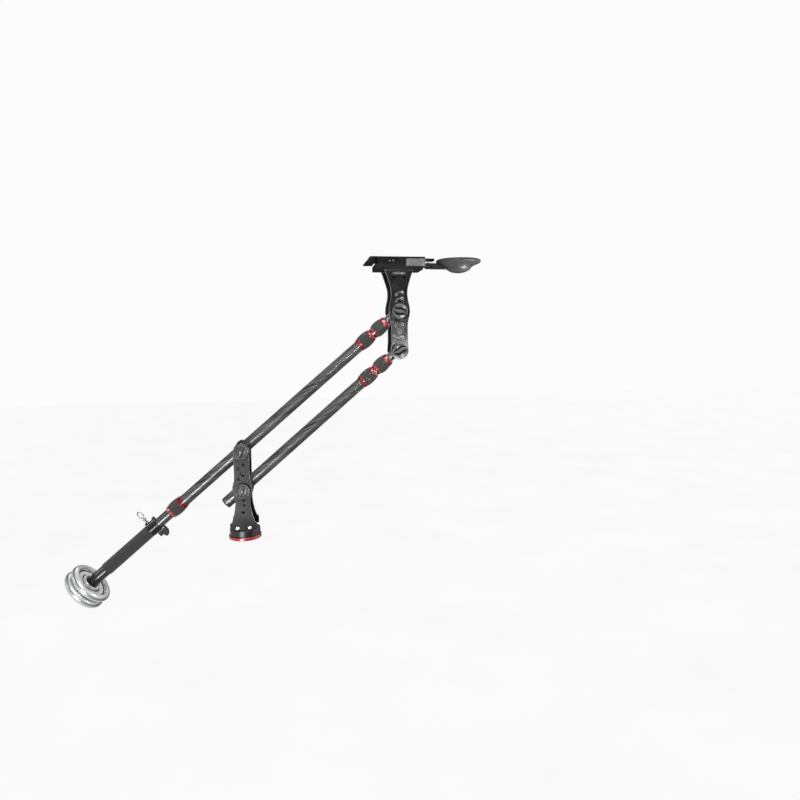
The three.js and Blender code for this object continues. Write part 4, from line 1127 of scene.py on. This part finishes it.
dish = [(127.2, 0), (127.6, 27, 2), (130, 50, 2), (130, 54.8, 0.8), (128.0, 56.7, 1.2), (126.0, 56.9, 0.8)]
under = spline([(126.0, 56.9), (123.2, 55.6), (120.2, 50.2), (116.6, 42.0), (112.4, 34.6), (105.6, 28.4), (100.4, 19.0), (98.0, 9.5)], 5)
profile = dish[:-1] + [(a, r, 0) for a, r in under] + [(97.2, 4.2, 0), (97.0, 0)]
palm = shifted(lathe("z", profile, n=144), 158.4)
stalk_line = arc(80, 0, 8, 90, 270, 24) + [(131, -8), (131, 8)]
stalk = plate(stalk_line, 107, 121, (), bevel=0.9, seg=2, across="z")
fork = carve(stalk[:2], box(60, 88.8, -12, 12, 109.7, 115.3, 0), shifted(lathe("z", [(100, 0), (100, 3.3), (130, 3.3), (130, 0)], n=32), 80))
Piece("handle", HEAD, "palm_handle", "handle_black", ["palm_handle"]).add(palm, HANDLE).add(fork, SATIN_BLACK).done(angle=34)
Piece("pin", HEAD, "head", "steel", ["handle_pin"]).add(shifted(lathe("z", [
    (106.6, 0), (106.6, 2.6, 0.3), (107.0, 3, 0.3), (121.3, 3), (121.3, 4.4, 0.3), (122.0, 4.6, 0.3), (122.6, 3.6, 0.5), (122.6, 0)], n=48), 80), STEEL).done()

# ------------------------------------------------------------------ CAD nodes that stay as they are
INSIDE = {"pan_washer": NYLON, "pan_nut": STEEL}
for name in ("upper_collet_1", "upper_collet_2", "lower_collet_1", "lower_collet_2", "rear_collet"):
    INSIDE[name] = MOULDED
for name, material in INSIDE.items():
    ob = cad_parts[name]
    ob.data.materials.clear()
    ob.data.materials.append(material)

# ------------------------------------------------------------------ floor and studio
FLOOR = -0.95
floor_mesh = bpy.data.meshes.new("floor")
floor_mesh.from_pydata([(-14, -14, FLOOR), (14, -14, FLOOR), (14, 14, FLOOR), (-14, 14, FLOOR)], [], [(0, 1, 2, 3)])
floor_finish = Finish("floor_paint", roughness=0.9, specular=0.1)
floor_tone = ramp(floor_finish.tree, floor_finish.noise(0.002, 4.0, 0.6), [(0.3, (0.955, 0.955, 0.955)), (0.7, (0.985, 0.985, 0.985))])
floor_finish.plain((0.04, 0.04, 0.04))
floor_finish.tree.links.new(floor_tone, floor_finish.shader.inputs["Emission Color"])
floor_finish.shader.inputs["Emission Strength"].default_value = 0.95
floor_mesh.materials.append(floor_finish.material)
floor = bpy.data.objects.new("floor", floor_mesh)
scene.collection.objects.link(floor)
floor.visible_glossy = False
floor.visible_diffuse = False


def lamp(name, at, target, size, power, colour=(1, 1, 1), spread=180, roll=0.0):
    data = bpy.data.lights.new(name, "AREA")
    data.shape = "RECTANGLE"
    data.size, data.size_y = size
    data.energy = power
    data.color = colour
    data.spread = math.radians(spread)
    ob = bpy.data.objects.new(name, data)
    scene.collection.objects.link(ob)
    ob.location = at
    aim = (Vector(target) - Vector(at)).to_track_quat("-Z", "Y").to_matrix() @ Matrix.Rotation(math.radians(roll), 3, "Z")
    ob.rotation_euler = aim.to_euler()
    return ob


lamp("strip_box", (-0.81, -2.4, -0.70), (-0.81, 0, -0.70), (1.42, 0.7), 46, roll=math.degrees(BOOM))
lamp("lock_box", (0.62, -2.4, 0.53), (0.33, 0, 0.5), (0.24, 0.24), 0.12)
lamp("low_box", (0.84, -2.4, 0.2), (0.45, 0, 0.42), (0.2, 0.2), 0.15, spread=12)
lamp("jaw_box", (0.66, -2.4, 1.12), (0.4, 0, 0.68), (0.3, 0.22), 0.8)
lamp("key_box", (0.15, -1.25, 1.75), (0.2, 0, 0.4), (0.6, 0.6), 17)
lamp("left_box", (-1.5, -0.3, 0.5), (0.39, 0, 0.5), (0.4, 0.4), 0.6, spread=60)
lamp("right_box", (1.5, -0.15, 0.1), (0.0, 0, 0.12), (0.4, 0.4), 0.4, spread=60)
lamp("palm_box", (1.25, -0.3, -0.35), (0.71, 0, 0.68), (0.2, 0.2), 1.25, spread=30)
lamp("back_box", (-0.4, 2.2, 2.0), (0.0, 0, 0.3), (1.0, 1.0), 8)

# Walls of the studio as the object sees them: pale to both ends of the boom, dark flags along its sides.
world = bpy.data.worlds.new("studio")
scene.world = world
world.use_nodes = True
tree = world.node_tree
tree.nodes.clear()
out = node(tree, "ShaderNodeOutputWorld")
path = node(tree, "ShaderNodeLightPath").outputs["Is Camera Ray"]
direction = node(tree, "ShaderNodeTexCoord").outputs["Generated"]
along_boom = node(tree, "ShaderNodeVectorMath", {0: direction, 1: (math.cos(BOOM), 0.0, math.sin(BOOM))}, operation="DOT_PRODUCT").outputs["Value"]
level = node(tree, "ShaderNodeMapRange", {"Value": along_boom, "From Min": -1.0, "From Max": 1.0, "To Min": 0.0, "To Max": 1.0}).outputs[0]
soft = ramp(tree, level, [(0.0, (0.75, 0.75, 0.75)), (0.27, (0.60, 0.60, 0.60)), (0.36, (0.035, 0.035, 0.035)), (0.64, (0.035, 0.035, 0.035)),
                          (0.72, (0.62, 0.62, 0.625)), (1.0, (0.85, 0.85, 0.86))])
seen = node(tree, "ShaderNodeBackground", {"Color": (0.97, 0.97, 0.97, 1), "Strength": 1.0}).outputs[0]
lit = node(tree, "ShaderNodeBackground", {"Color": soft, "Strength": 1.0}).outputs[0]
mix = node(tree, "ShaderNodeMixShader", {0: path, 1: lit, 2: seen}).outputs[0]
tree.links.new(mix, out.inputs["Surface"])
